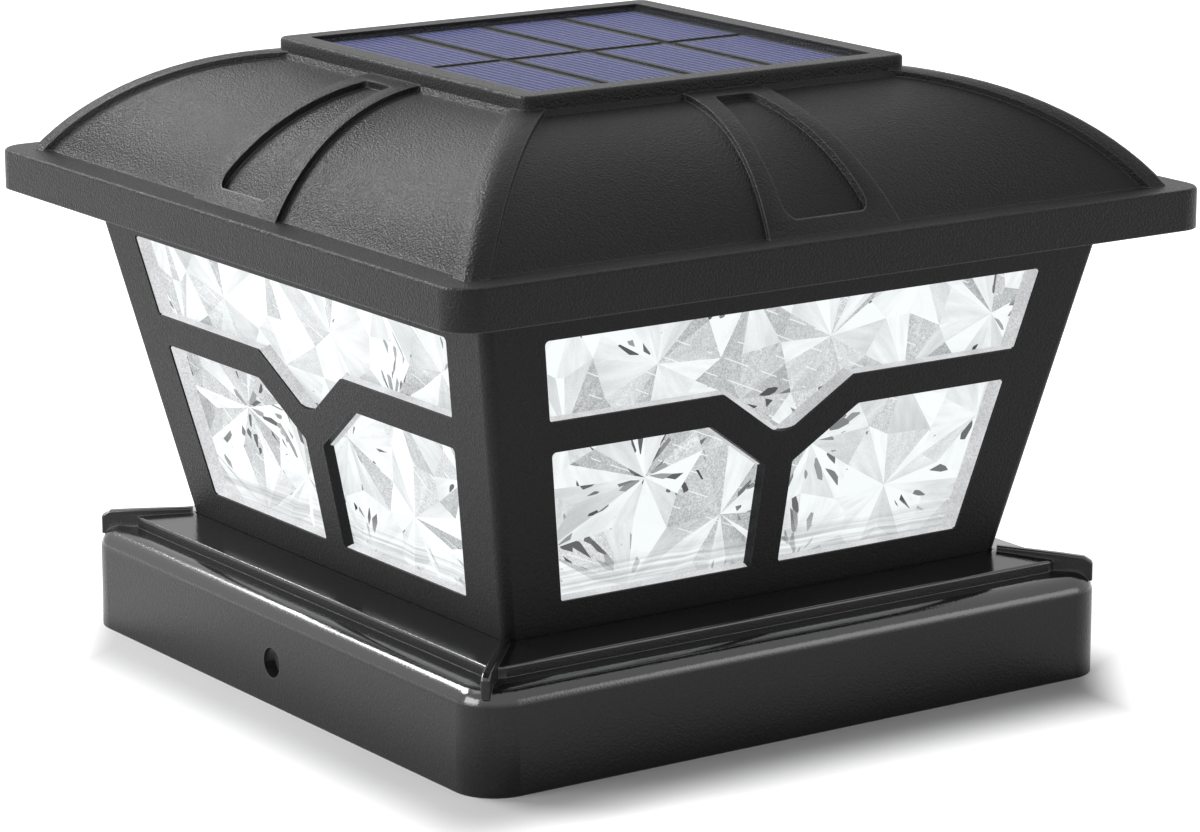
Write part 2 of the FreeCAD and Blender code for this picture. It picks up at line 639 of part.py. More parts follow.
def base_collar():
    inner = BASE_HALF - BASE_WALL
    skirt = square(BASE_HALF, BASE_CORNER_R, 0, SHOULDER_Z)
    skirt = skirt.makeFillet(SHOULDER_R, edges_where(skirt, on_level(SHOULDER_Z)))
    foot = frame_half(FOOT_RISE_Z) + FOOT_SEAM
    lip = square(LIP_HALF, LIP_CORNER_R, SHOULDER_Z - PAST, LIP_Z)
    rings = [rounded_rect(half, half, LIP_CORNER_R, z)
             for half, z in ((LIP_HALF, LIP_Z), (foot, FOOT_RISE_Z))]
    slope = Part.makeLoft(rings, True, True)
    top = lip.fuse(slope).removeSplitter()
    top = top.makeFillet(LIP_EDGE_R, edges_where(top, on_level(LIP_Z)))
    body = skirt.fuse(top)
    socket = square(inner, BASE_CORNER_R - BASE_WALL, -PAST, SEAT_Z)
    hollow = square(inner - SEAT_RING_W, BASE_CORNER_R - BASE_WALL, SEAT_Z - PAST, DECK_LOW_Z)
    well = square(FRAME_FOOT_HALF + FOOT_SEAM, FRAME_CORNER_R, DECK_TOP_Z, FOOT_RISE_Z + PAST)
    body = body.cut(socket).cut(hollow).cut(well)
    body = body.fuse(four(fin()))
    body = body.cut(square(foot, FRAME_CORNER_R, FOOT_RISE_Z, FOOT_RISE_Z + FIN_RISE + PAST))
    boss_low = DECK_LOW_Z - DECK_BOSS_H
    body = body.fuse([rod(DECK_BOSS_R, boss_low, DECK_LOW_Z, x, y) for x, y in ear_places()] + cover_rails())
    low = DECK_LOW_Z - PAST
    high = DECK_TOP_Z + PAST
    pilot = SCREW_R + SCREW_PLAY
    holes = [rod(pilot, boss_low + DECK_BORE_BOTTOM, high, x, y) for x, y in ear_places()]
    holes += [rod(pilot, low, high, x, y) for x, y in corners(FRAME_FOOT_HALF - BOSS_INSET)]
    holes.append(rod(BUTTON_HOLE_R, low, high, BUTTON_X, BUTTON_Y))
    holes.append(block(-BAY_OPEN_HALF_X, BAY_OPEN_HALF_X, BAY_OPEN_Y0, BAY_OPEN_Y1, low, high))
    for sign in (-1, 1):
        start = V(sign * (inner - PAST), 0, SCREW_HOLE_Z)
        holes.append(Part.makeCylinder(SCREW_HOLE_R, BASE_WALL + 2 * PAST, start, V(sign, 0, 0)))
    return body.cut(holes)


def base_gasket():
    outer = FRAME_FOOT_HALF - GASKET_PLAY
    ring = square(outer, FRAME_CORNER_R, DECK_TOP_Z, FRAME_FOOT_Z)
    return ring.cut(square(outer - GASKET_W, FRAME_INSIDE_R, DECK_TOP_Z - PAST, FRAME_FOOT_Z + PAST))


def floor_reflector():
    """White sheet round the light engine, with its corners cut off beside the frame's bosses."""
    half = FRAME_FOOT_HALF - FRAME_WALL - FLOOR_SHEET_GAP
    sheet = square(half, FLOOR_CORNER_R, DECK_TOP_Z, DECK_TOP_Z + FLOOR_SHEET_T)
    reach_x = TUB_HALF_X + EAR_L + FLOOR_SHEET_GAP
    reach_y = TUB_HALF_Y + FLOOR_SHEET_GAP
    low = DECK_TOP_Z - PAST
    high = DECK_TOP_Z + FLOOR_SHEET_T + PAST
    middle = block(-reach_x, reach_x, -reach_y, reach_y, low, high)
    near = FRAME_FOOT_HALF - BOSS_INSET - BOSS_R - FLOOR_SHEET_GAP
    return sheet.cut([middle] + four(block(near, half + PAST, near, half + PAST, low, high)))


def base_screws():
    length = DECK_T + GASKET_T + FRAME_BOSS_L - BORE_BOTTOM - SCREW_SHORT
    return group([screw(DECK_LOW_Z, 1, length, x, y) for x, y in corners(FRAME_FOOT_HALF - BOSS_INSET)])


# ---------------------------------------------------------------- lantern

def upper_window():
    """Wide window whose lower edge dips to a rounded point over the mullion."""
    tip_z = RAIL_TOP_Z - V_TURN_HALF * V_SLOPE
    low_half = window_half(RAIL_TOP_Z)
    pts = [(-WIN_TOP_HALF, WIN_TOP_Z), (-low_half, RAIL_TOP_Z), (-V_TURN_HALF, RAIL_TOP_Z), (0, tip_z),
           (V_TURN_HALF, RAIL_TOP_Z), (low_half, RAIL_TOP_Z), (WIN_TOP_HALF, WIN_TOP_Z)]
    radii = [WIN_CORNER_R, WIN_CORNER_R, WIN_CORNER_R, V_TIP_R, WIN_CORNER_R, WIN_CORNER_R, WIN_CORNER_R]
    return rounded_polygon(pts, radii)


def lower_window(sign):
    """Window beside the mullion, with its top inner corner cut off at the slope of the dip."""
    cut_z = RAIL_LOW_Z - (LOW_INNER_HALF - MULLION_HALF) * V_SLOPE
    pts = [(LOW_INNER_HALF, RAIL_LOW_Z), (window_half(RAIL_LOW_Z), RAIL_LOW_Z), (WIN_LOW_HALF, WIN_LOW_Z),
           (MULLION_HALF, WIN_LOW_Z), (MULLION_HALF, cut_z)]
    return rounded_polygon([(sign * u, z) for u, z in pts], [WIN_CORNER_R] * len(pts))


def window_cutters():
    """The three windows of the front face, as prisms that reach a little past the wall on both sides."""
    near = frame_half(WIN_LOW_Z) - FRAME_WALL - 2 * PAST
    far = frame_half(WIN_TOP_Z) + 2 * PAST
    cutters = []
    for wire in (upper_window(), lower_window(-1), lower_window(1)):
        prism = Part.Face(wire).extrude(V(0, 0, far - near))
        prism.rotate(CENTRE, V(1, 0, 0), 90)
        prism.translate(V(0, -near, 0))
        cutters.append(prism)
    return cutters


def leaning_bar(u0, u1, depth0, depth1, z0, z1):
    """Bar along the inside of the front face. u and depth are functions of z, depth from the axis."""
    rings = []
    for z in (z0, z1):
        plan = [(u0(z), -depth0(z)), (u1(z), -depth0(z)), (u1(z), -depth1(z)), (u0(z), -depth1(z))]
        rings.append([V(x, y, z) for x, y in plan])
    return flat_sided(rings[0], rings[1])


def panel_half(z):
    return window_half(z) + PANEL_MARGIN


def guide_ribs():
    """Ribs beside the four panels that keep them in place."""
    ribs = []
    for sign in (-1, 1):
        ribs += four(leaning_bar(
            lambda z: sign * (panel_half(z) + PANEL_FIT),
            lambda z: sign * (panel_half(z) + PANEL_FIT + GUIDE_T),
            lambda z: frame_half(z) - FRAME_WALL + ROOT,
            lambda z: frame_half(z) - FRAME_WALL - GUIDE_H,
            LEDGE_Z, SOFFIT_LOW_Z))
    return ribs


def lantern_frame():
    outside = taper(FRAME_FOOT_HALF, FRAME_FOOT_Z, FRAME_TOP_HALF, SOFFIT_LOW_Z, FRAME_CORNER_R)
    low = FRAME_FOOT_Z - PAST
    high = SOFFIT_LOW_Z + PAST
    inside = taper(frame_half(low) - FRAME_WALL, low, frame_half(high) - FRAME_WALL, high, FRAME_INSIDE_R)
    shell = outside.cut(inside)
    for cutter in window_cutters():
        for side_cutter in four(cutter):
            shell = shell.cut(side_cutter)
    ledge_half = frame_half(LEDGE_Z) - FRAME_WALL + ROOT
    ledge = square(ledge_half, FRAME_INSIDE_R, LEDGE_Z, LEDGE_Z + LEDGE_T)
    ledge = ledge.cut(square(ledge_half - LEDGE_W, FRAME_INSIDE_R, LEDGE_Z - PAST, LEDGE_Z + LEDGE_T + PAST))
    low_at = FRAME_FOOT_HALF - BOSS_INSET
    low_top = FRAME_FOOT_Z + FRAME_BOSS_L
    top_low = SOFFIT_LOW_Z - FRAME_BOSS_L
    bosses = [rod(BOSS_R, FRAME_FOOT_Z, low_top, x, y) for x, y in corners(low_at)]
    bosses += [rod(BOSS_R, top_low, SOFFIT_LOW_Z, x, y) for x, y in corners(TOP_BOSS_AT)]
    for at, z0, z1 in ((low_at, FRAME_FOOT_Z, low_top), (TOP_BOSS_AT, top_low, SOFFIT_LOW_Z)):
        reach = (frame_half(z0) - FRAME_WALL) * math.sqrt(2)
        web = block(at * math.sqrt(2), reach, -BOSS_WEB_T / 2, BOSS_WEB_T / 2, z0, z1)
        web.rotate(CENTRE, UP, 45)
        bosses += four(web)
    shell = shell.fuse([ledge] + bosses + guide_ribs())
    pilot = SCREW_R + SCREW_PLAY
    drills = [rod(pilot, low, low_top - BORE_BOTTOM, x, y) for x, y in corners(low_at)]
    drills += [rod(pilot, top_low + BORE_BOTTOM, high, x, y) for x, y in corners(TOP_BOSS_AT)]
    return shell.cut(drills)


def diffuser():
    """Front crystal panel: a flat plate that leans with the frame and covers the three windows."""
    return leaning_bar(
        lambda z: -panel_half(z), panel_half,
        lambda z: frame_half(z) - FRAME_WALL - PANEL_FIT,
        lambda z: frame_half(z) - FRAME_WALL - PANEL_FIT - PANEL_T,
        LEDGE_Z + LEDGE_T + PANEL_LOW_GAP, SOFFIT_LOW_Z - PANEL_TOP_GAP)


def frame_screws():
    length = SOFFIT_T + FRAME_BOSS_L - BORE_BOTTOM - SCREW_SHORT
    return group([screw(SOFFIT_TOP_Z, -1, length, x, y) for x, y in corners(TOP_BOSS_AT)])


# ---------------------------------------------------------------- roof

def arched(radius, foot_z, low_z, top_t):
    """Body with four curved faces that meet at mitred hips: two crossed arched prisms."""
    foot_t = arc_t(radius, foot_z)
    top_z = arc_z(radius, top_t)
    mid_t = (foot_t + top_t) / 2
    mid_z = arc_z(radius, mid_t)
    left = Part.Arc(V(-foot_t, 0, foot_z), V(-mid_t, 0, mid_z), V(-top_t, 0, top_z)).toShape()
    right = Part.Arc(V(top_t, 0, top_z), V(mid_t, 0, mid_z), V(foot_t, 0, foot_z)).toShape()
    lines = [(V(-top_t, 0, top_z), V(top_t, 0, top_z)), (V(foot_t, 0, foot_z), V(foot_t, 0, low_z)),
             (V(foot_t, 0, low_z), V(-foot_t, 0, low_z)), (V(-foot_t, 0, low_z), V(-foot_t, 0, foot_z))]
    edges = [left, right] + [Part.LineSegment(a, b).toShape() for a, b in lines]
    face = Part.Face(Part.Wire(Part.__sortEdges__(edges)))
    reach = foot_t + PAST
    prism = face.extrude(V(0, 2 * reach, 0))
    prism.translate(V(0, -reach, 0))
    return prism.common(turned(prism, 1))


def crest_limit(low_z):
    """Body under the crest line of the two ribs on one diagonal: the hip's own curve, brought in a little."""
    spread = math.sqrt(2)
    line = []
    for i in range(CREST_POINTS):
        z = low_z + (arc_z(ROOF_ARC_R, BAND_TOP_T) - low_z) * math.sin(math.pi / 2 * i / (CREST_POINTS - 1))
        line.append(V(spread * (arc_t(ROOF_ARC_R, z) - CREST_DROP), 0, z))
    curve = Part.BSplineCurve()
    curve.interpolate(line)
    mirrored = Part.BSplineCurve()
    mirrored.interpolate([V(-p.x, 0, p.z) for p in reversed(line)])
    top = Part.LineSegment(line[-1], V(-line[-1].x, 0, line[-1].z)).toShape()
    foot = Part.LineSegment(V(-line[0].x, 0, low_z), line[0]).toShape()
    face = Part.Face(Part.Wire([curve.toShape(), top, mirrored.toShape(), foot]))
    body = face.extrude(V(0, RIB_W, 0))
    body.translate(V(0, -RIB_W / 2, 0))
    return body


def hip_ribs(outer):
    """The hips left proud of the side fields, with a blunted crest."""
    ribs = []
    for quarter in range(2):
        limit = crest_limit(FASCIA_TOP_Z - PAST)
        limit.rotate(CENTRE, UP, 45 + 90 * quarter)
        ribs.append(outer.common(limit))
    return ribs


def band_outline(top_t, top_half, mid_t, mid_half, foot_t, foot_half):
    """Plan of the middle band of the front face, with gently curved sides."""
    right = Part.Arc(V(top_half, -top_t, 0), V(mid_half, -mid_t, 0), V(foot_half, -foot_t, 0)).toShape()
    left = Part.Arc(V(-foot_half, -foot_t, 0), V(-mid_half, -mid_t, 0), V(-top_half, -top_t, 0)).toShape()
    foot = Part.LineSegment(V(foot_half, -foot_t, 0), V(-foot_half, -foot_t, 0)).toShape()
    top = Part.LineSegment(V(-top_half, -top_t, 0), V(top_half, -top_t, 0)).toShape()
    return Part.Wire([right, foot, left, top])


def middle_bands(outer):
    outline = band_outline(BAND_TOP_T, BAND_TOP_HALF, BAND_MID_T, BAND_MID_HALF, BAND_FOOT_T, BAND_FOOT_HALF)
    outline.translate(V(0, 0, FASCIA_TOP_Z - PAST))
    prism = Part.Face(outline).extrude(V(0, 0, ROOF_H))
    return [outer.common(side) for side in four(prism)]


def sunk_panels():
    """Cutters for the sunk panel with round corners in each band."""
    pts = [(SUNK_TOP_HALF, -SUNK_TOP_T), (SUNK_FOOT_HALF, -SUNK_FOOT_T), (-SUNK_FOOT_HALF, -SUNK_FOOT_T),
           (-SUNK_TOP_HALF, -SUNK_TOP_T)]
    wire = rounded_polygon(pts, [SUNK_TOP_R, SUNK_FOOT_R, SUNK_FOOT_R, SUNK_TOP_R])
    wire.translate(V(0, 0, FASCIA_TOP_Z))
    prism = Part.Face(wire).extrude(V(0, 0, ROOF_H))
    floor = arched(ROOF_ARC_R - SUNK_PANEL_DEPTH, FASCIA_TOP_Z - 2 * PAST, FASCIA_TOP_Z - 3 * PAST,
                   BAND_TOP_T)
    return four(prism.cut(floor))


def roof_cavity():
    """Inside of the roof: one wall in from the fascia, from the side fields and from the housing's floor."""
    eave_z = FASCIA_TOP_Z - ROOF_WALL
    low = square(FASCIA_HALF - ROOF_WALL, FASCIA_CORNER_R - ROOF_WALL, FASCIA_LOW_Z - PAST, eave_z)
    high = arched(FIELD_ARC_R - ROOF_WALL, eave_z, eave_z - PAST, ARC_CENTRE_T)
    reach = FASCIA_HALF
    above = block(-reach, reach, -reach, reach, ROOF_CEILING_Z, HOUSING_TOP_Z)
    return low.fuse(high).cut(above)


def roof_cap():
    eave = square(FASCIA_HALF, FASCIA_CORNER_R, FASCIA_LOW_Z, FASCIA_TOP_Z)
    eave = eave.makeFillet(FASCIA_EDGE_R, edges_where(eave, on_level(FASCIA_TOP_Z)))
    outer = arched(ROOF_ARC_R, FASCIA_TOP_Z, FASCIA_TOP_Z - PAST, BAND_TOP_T)
    fields = arched(FIELD_ARC_R, FASCIA_TOP_Z, FASCIA_TOP_Z - PAST, BAND_TOP_T)
    housing = square(HOUSING_HALF, HOUSING_CORNER_R, ROOF_CEILING_Z, HOUSING_TOP_Z)
    housing = housing.makeFillet(HOUSING_EDGE_R, edges_where(housing, on_level(HOUSING_TOP_Z)))
    flare = taper(HOUSING_HALF + HOUSING_FLARE, FLARE_LOW_Z, HOUSING_HALF, FLARE_TOP_Z, HOUSING_CORNER_R)
    body = fields.fuse([eave, housing, flare] + hip_ribs(outer) + middle_bands(outer))
    body = body.cut(sunk_panels())
    pocket = square(POCKET_HALF, POCKET_CORNER_R, POCKET_Z, HOUSING_TOP_Z + PAST)
    lead_hole = rod(LEAD_HOLE_R, ROOF_CEILING_Z - PAST, POCKET_Z + PAST, 0, LEAD_HOLE_Y)
    body = body.cut([roof_cavity(), pocket, lead_hole])
    at = corners(ROOF_BOSS_AT)
    body = body.fuse([rod(ROOF_BOSS_R, SOFFIT_TOP_Z, ROOF_BOSS_TOP_Z, x, y) for x, y in at])
    pilot = SCREW_R + SCREW_PLAY
    return body.cut([rod(pilot, SOFFIT_TOP_Z - PAST, ROOF_BOSS_TOP_Z, x, y) for x, y in at])


def roof_soffit():
    half = FASCIA_HALF - ROOF_WALL - SOFFIT_FIT
    sheet = square(half, FASCIA_CORNER_R - ROOF_WALL, SOFFIT_LOW_Z, SOFFIT_TOP_Z)
    low = SOFFIT_LOW_Z - PAST
    high = SOFFIT_TOP_Z + PAST
    holes = [square(SOFFIT_OPEN_HALF, SOFFIT_OPEN_R, low, high)]
    pilot = SCREW_R + SCREW_PLAY
    holes += [rod(pilot, low, high, x, y) for x, y in corners(TOP_BOSS_AT) + corners(ROOF_BOSS_AT)]
    holes += [rod(HEAD_R + HEAD_PLAY, low, SOFFIT_LOW_Z + SOFFIT_T / 2, x, y)
              for x, y in corners(ROOF_BOSS_AT)]
    holes += four(rod(SMALL_SCREW_R + SCREW_PLAY, low, high, REFLECTOR_SCREW_AT, 0))
    return sheet.cut(holes)


def roof_screws():
    head_z = SOFFIT_LOW_Z + SOFFIT_T / 2
    length = ROOF_BOSS_TOP_Z - head_z - SCREW_SHORT
    return group([screw(head_z, 1, length, x, y) for x, y in corners(ROOF_BOSS_AT)])


def roof_reflector():
    """White plate with a raised, four-sided middle that throws light back out of the windows."""
    z0 = SOFFIT_TOP_Z
    flange = square(REFLECTOR_HALF, REFLECTOR_CORNER_R, z0, FLANGE_TOP_Z)
    rise = taper(REFLECTOR_FOLD_HALF, z0, REFLECTOR_TOP_HALF, z0 + REFLECTOR_RISE, REFLECTOR_FOLD_R)
    lifted = rise.copy()
    lifted.translate(V(0, 0, REFLECTOR_T))
    body = flange.fuse(lifted).cut(rise)
    high = FLANGE_TOP_Z + PAST
    holes = four(rod(SMALL_SCREW_R + SCREW_PLAY, z0 - PAST, high, REFLECTOR_SCREW_AT, 0))
    holes.append(rod(REFLECTOR_HOLE_R, z0 - PAST, high, REFLECTOR_HOLE_AT, REFLECTOR_HOLE_AT))
    return body.cut(holes)


def reflector_screws():
    length = REFLECTOR_T + SOFFIT_T - SCREW_SHORT
    return group(four(small_screw(FLANGE_TOP_Z, -1, length, REFLECTOR_SCREW_AT, 0)))


# ---------------------------------------------------------------- solar panel

def cell_places():
    """Centres of the cells, row by row."""
    places = []
    for row in range(CELL_ROWS):
        for column in range(CELL_COLUMNS):
            x = (column - (CELL_COLUMNS - 1) / 2) * (CELL_W + CELL_GAP_X)
            y = (row - (CELL_ROWS - 1) / 2) * (CELL_L + CELL_GAP_Y)
            places.append((x, y))
    return places


def solar_cell(x, y):
    top_z = BACKING_TOP_Z + CELL_T
    return block(x - CELL_W / 2, x + CELL_W / 2, y - CELL_L / 2, y + CELL_L / 2, BACKING_TOP_Z, top_z)


def solar_backing():
    return square(SOLAR_HALF, SOLAR_CORNER_R, BACKING_LOW_Z, BACKING_TOP_Z)


def solar_cover():
    cover = square(SOLAR_HALF, SOLAR_CORNER_R, BACKING_TOP_Z, COVER_TOP_Z)
    return cover.cut([solar_cell(x, y) for x, y in cell_places()])


def solar_gasket():
    ring = square(SOLAR_HALF, SOLAR_CORNER_R, POCKET_Z, BACKING_LOW_Z)
    inner = SOLAR_HALF - SOLAR_GASKET_W
    return ring.cut(square(inner, SOLAR_CORNER_R, POCKET_Z - PAST, BACKING_LOW_Z + PAST))


def bent_tube(points, radius):
    """Round wire along straight runs joined by tangent arcs, as large as the runs allow."""
    pts = [V(*p) for p in points]
    edges = []
    here = pts[0]
    for i in range(1, len(pts) - 1):
        back = pts[i - 1] - pts[i]
        ahead = pts[i + 1] - pts[i]
        shorter = min(back.Length, ahead.Length)
        back.normalize()
        ahead.normalize()
        half_angle = back.getAngle(ahead) / 2
        cut = 0.45 * shorter
        bend_r = cut * math.tan(half_angle)
        middle = back + ahead
        middle.normalize()
        centre = pts[i] + middle * (bend_r / math.sin(half_angle))
        start = pts[i] + back * cut
        end = pts[i] + ahead * cut
        edges.append(Part.LineSegment(here, start).toShape())
        edges.append(Part.Arc(start, centre - middle * bend_r, end).toShape())
        here = end
    edges.append(Part.LineSegment(here, pts[-1]).toShape())
    path = Part.Wire(edges)
    first = pts[1] - pts[0]
    circle = Part.Wire([Part.makeCircle(radius, pts[0], first)])
    return path.makePipeShell([circle], True, False)


def solar_lead(side):
    """Lead from the panel, over the reflector, down the corner of the lantern, to the control board."""
    route = []
    for x, y, z, apart_x, apart_y in LEAD_ROUTE:
        route.append((x + side * LEAD_APART * apart_x, y + side * LEAD_APART * apart_y, z))
    return bent_tube(route, LEAD_R)


# ---------------------------------------------------------------- light engine

def ear_places():
    return [(x * (TUB_HALF_X + EAR_SCREW_OUT), y * EAR_AT_Y) for x in (-1, 1) for y in (-1, 1)]


def bays(z0, z1):
    """The battery's bay and the control board's bay."""
    return [block(-BAY_HALF_X, BAY_HALF_X, BAY_Y0, BAY_Y1, z0, z1),
            block(-BAY_HALF_X, BAY_HALF_X, BOARD_BAY_Y0, BOARD_BAY_Y1, z0, z1)]


def engine_housing():
    tub = plate(TUB_HALF_X, TUB_HALF_Y, TUB_CORNER_R, DECK_TOP_Z, TUB_TOP_Z)
    tub = tub.makeFillet(TUB_EDGE_R, edges_where(tub, on_level(TUB_TOP_Z)))
    ears = []
    for sign_x in (-1, 1):
        for sign_y in (-1, 1):
            cx = sign_x * (TUB_HALF_X + EAR_L / 2 - ROOT)
            cy = sign_y * EAR_AT_Y
            ears.append(plate(EAR_L / 2, EAR_W / 2, EAR_R, DECK_TOP_Z, DECK_TOP_Z + EAR_T, cx, cy))
    tub = tub.fuse(ears).cut(bays(DECK_TOP_Z - PAST, TUB_CEILING_Z))
    sides = (-1, 1)
    post_high = TUB_CEILING_Z + ROOT
    tub = tub.fuse([rod(POST_R, CONTROL_TOP_Z, post_high, sign * POST_AT_X, CONTROL_SCREW_Y)
                    for sign in sides])
    small = SMALL_SCREW_R + SCREW_PLAY
    bore_top = TUB_CEILING_Z - POST_SOLID
    low = TUB_CEILING_Z - PAST
    high = TUB_TOP_Z + PAST
    ear_high = DECK_TOP_Z + EAR_T + PAST
    holes = [rod(SCREW_R + SCREW_PLAY, DECK_TOP_Z - PAST, ear_high, x, y) for x, y in ear_places()]
    holes += [rod(small, CONTROL_TOP_Z - PAST, bore_top, sign * POST_AT_X, CONTROL_SCREW_Y) for sign in sides]
    holes += [rod(small, low, high, sign * LED_SCREW_X, DIVIDER_Y) for sign in sides]
    holes += [rod(PIN_R + PIN_BORE_PLAY, low, high, x, CONTROL_Y) for x in pin_places()]
    notch_start = V(BAY_HALF_X - PAST, LEAD_NOTCH_Y, LEAD_NOTCH_Z)
    holes.append(Part.makeCylinder(LEAD_NOTCH_R, TUB_WALL + 2 * PAST, notch_start, V(1, 0, 0)))
    return tub.cut(holes)


def housing_screws():
    length = EAR_T + DECK_T + DECK_BOSS_H - DECK_BORE_BOTTOM - SCREW_SHORT
    return group([screw(DECK_TOP_Z + EAR_T, -1, length, x, y) for x, y in ear_places()])


def pin_places():
    return [PIN_X + (i - (PIN_COUNT - 1) / 2) * PIN_PITCH for i in range(PIN_COUNT)]


def led_board():
    board = plate(LED_BOARD_HALF_X, LED_BOARD_HALF_Y, LED_BOARD_R, TUB_TOP_Z, LED_BOARD_TOP_Z)
    low = TUB_TOP_Z - PAST
    high = LED_BOARD_TOP_Z + PAST
    holes = [rod(SMALL_SCREW_R + SCREW_PLAY, low, high, sign * LED_SCREW_X, DIVIDER_Y) for sign in (-1, 1)]
    holes += [rod(PIN_R + PIN_PLAY, low, high, x, CONTROL_Y) for x in pin_places()]
    return board.cut(holes)


def led_places():
    return [(LED_AT_X, LED_AT_Y), (-LED_AT_X, LED_AT_Y), (-LED_AT_X, -LED_AT_Y), (LED_AT_X, -LED_AT_Y)]


def led(x, y):
    """Square lamp package with a low dome."""
    half = LED_SIZE / 2
    top_z = LED_BOARD_TOP_Z + LED_H
    body = block(x - half, x + half, y - half, y + half, LED_BOARD_TOP_Z, top_z)
    dome = Part.makeSphere(LED_DOME_R * 1.25, V(x, y, top_z - LED_DOME_R * 0.75))
    keep = rod(LED_DOME_R, top_z - ROOT, top_z + LED_DOME_R, x, y)
    return body.fuse(dome.common(keep))


def led_board_screws():
    length = BOARD_T + TUB_WALL
    return group([small_screw(LED_BOARD_TOP_Z, -1, length, sign * LED_SCREW_X, DIVIDER_Y)
                  for sign in (-1, 1)])


def board_pins():
    """Pins that carry current from the control board up to the lamp board."""
    low = CONTROL_LOW_Z - PIN_PROUD
    high = LED_BOARD_TOP_Z + PIN_PROUD
    return group([rod(PIN_R, low, high, x, CONTROL_Y) for x in pin_places()])


def control_board():
    board = block(-CONTROL_HALF_X, CONTROL_HALF_X, CONTROL_Y - CONTROL_HALF_Y, CONTROL_Y + CONTROL_HALF_Y,
                  CONTROL_LOW_Z, CONTROL_TOP_Z)
    low = CONTROL_LOW_Z - PAST
    high = CONTROL_TOP_Z + PAST
    pilot = SMALL_SCREW_R + SCREW_PLAY
    holes = [rod(pilot, low, high, sign * POST_AT_X, CONTROL_SCREW_Y) for sign in (-1, 1)]
    holes += [rod(PIN_R + PIN_PLAY, low, high, x, CONTROL_Y) for x in pin_places()]
    return board.cut(holes)


def board_screws():
    length = BOARD_T + BOARD_SCREW_BITE
    return group([small_screw(CONTROL_LOW_Z, 1, length, sign * POST_AT_X, CONTROL_SCREW_Y)
                  for sign in (-1, 1)])


def driver_chip():
    low = CONTROL_TOP_Z
    body = plate(CHIP_HALF_X, CHIP_HALF_Y, CHIP_CORNER_R, low, low + CHIP_H, CHIP_X, CONTROL_Y)
    y0 = CONTROL_Y - CHIP_LEG_REACH
    y1 = CONTROL_Y + CHIP_LEG_REACH
    legs = []
    for i in range(CHIP_LEGS):
        x = CHIP_X + (i - (CHIP_LEGS - 1) / 2) * CHIP_LEG_PITCH
        legs.append(block(x - CHIP_LEG_W / 2, x + CHIP_LEG_W / 2, y0, y1, low, low + CHIP_LEG_W))
    return body.fuse(legs)


def boost_inductor():
    return rod(INDUCTOR_R, CONTROL_TOP_Z, CONTROL_TOP_Z + INDUCTOR_H, INDUCTOR_X, CONTROL_Y)


def storage_capacitor():
    can = rod(CAPACITOR_R, CONTROL_TOP_Z, CONTROL_TOP_Z + CAPACITOR_H, CAPACITOR_X, CONTROL_Y)
    return can.makeFillet(CAPACITOR_EDGE_R, edges_where(can, on_level(CONTROL_TOP_Z + CAPACITOR_H)))


def switch_body():
    """Push switch that hangs under the control board, with a bore for the button's stem."""
    low = button_flange_top() + BUTTON_TRAVEL + SWITCH_CLEAR
    body = block(BUTTON_X - SWITCH_HALF, BUTTON_X + SWITCH_HALF,
                 BUTTON_Y - SWITCH_HALF, BUTTON_Y + SWITCH_HALF,
                 low, CONTROL_LOW_Z)
    bore_top = button_flange_top() + STEM_L + BUTTON_TRAVEL + STEM_PLAY
    return body.cut(rod(STEM_R + STEM_PLAY, low - PAST, bore_top, BUTTON_X, BUTTON_Y))


def battery_cell():
    x0 = -BATTERY_L / 2
    can = Part.makeCylinder(BATTERY_R, BATTERY_L - NUB_L, V(x0, BATTERY_Y, BATTERY_Z), V(1, 0, 0))
    can = can.makeFillet(BATTERY_EDGE_R, can.Edges)
    nub_start = V(BATTERY_L / 2 - NUB_L - ROOT, BATTERY_Y, BATTERY_Z)
    nub = Part.makeCylinder(NUB_R, NUB_L + ROOT, nub_start, V(1, 0, 0))
    return can.fuse(nub)


def contact_plate(x0):
    y0 = BATTERY_Y - CONTACT_W / 2
    z0 = BATTERY_Z - CONTACT_H / 2
    return block(x0, x0 + CONTACT_T, y0, y0 + CONTACT_W, z0, z0 + CONTACT_H)


def contact_positive():
    """Plate with a pressed dimple that meets the battery's button."""
    x0 = BAY_HALF_X - CONTACT_T
    foot = V(x0, BATTERY_Y, BATTERY_Z)
    dimple = Part.makeCone(DIMPLE_FOOT_R, DIMPLE_TIP_R, CONTACT_REACH, foot, V(-1, 0, 0))
    return contact_plate(x0).fuse(dimple)


def coil_spring(start_x, length):
    """Conical coil of round wire along X, swept along a smooth curve through points on the cone."""
    count = SPRING_TURNS * SPRING_POINTS
    line = []
    for i in range(count + 1):
        turn = 2 * math.pi * i / SPRING_POINTS
        r = SPRING_FOOT_R + (SPRING_END_R - SPRING_FOOT_R) * i / count
        side = r * math.cos(turn)
        rise = r * math.sin(turn)
        line.append(V(start_x + length * i / count, BATTERY_Y + side, BATTERY_Z + rise))
    curve = Part.BSplineCurve()
    curve.interpolate(line)
    along = curve.tangent(curve.FirstParameter)[0]
    circle = Part.Wire([Part.makeCircle(SPRING_WIRE_R, line[0], along)])
    return Part.Wire([curve.toShape()]).makePipeShell([circle], True, True)


def contact_negative():
    """Plate with a conical coil that presses on the battery's flat end."""
    plate_x = -BAY_HALF_X
    start_x = plate_x + CONTACT_T + SPRING_WIRE_R * 0.6
    coil = coil_spring(start_x, -BATTERY_L / 2 - SPRING_WIRE_R - start_x)
    return contact_plate(plate_x).fuse(coil)


# ---------------------------------------------------------------- moving pieces

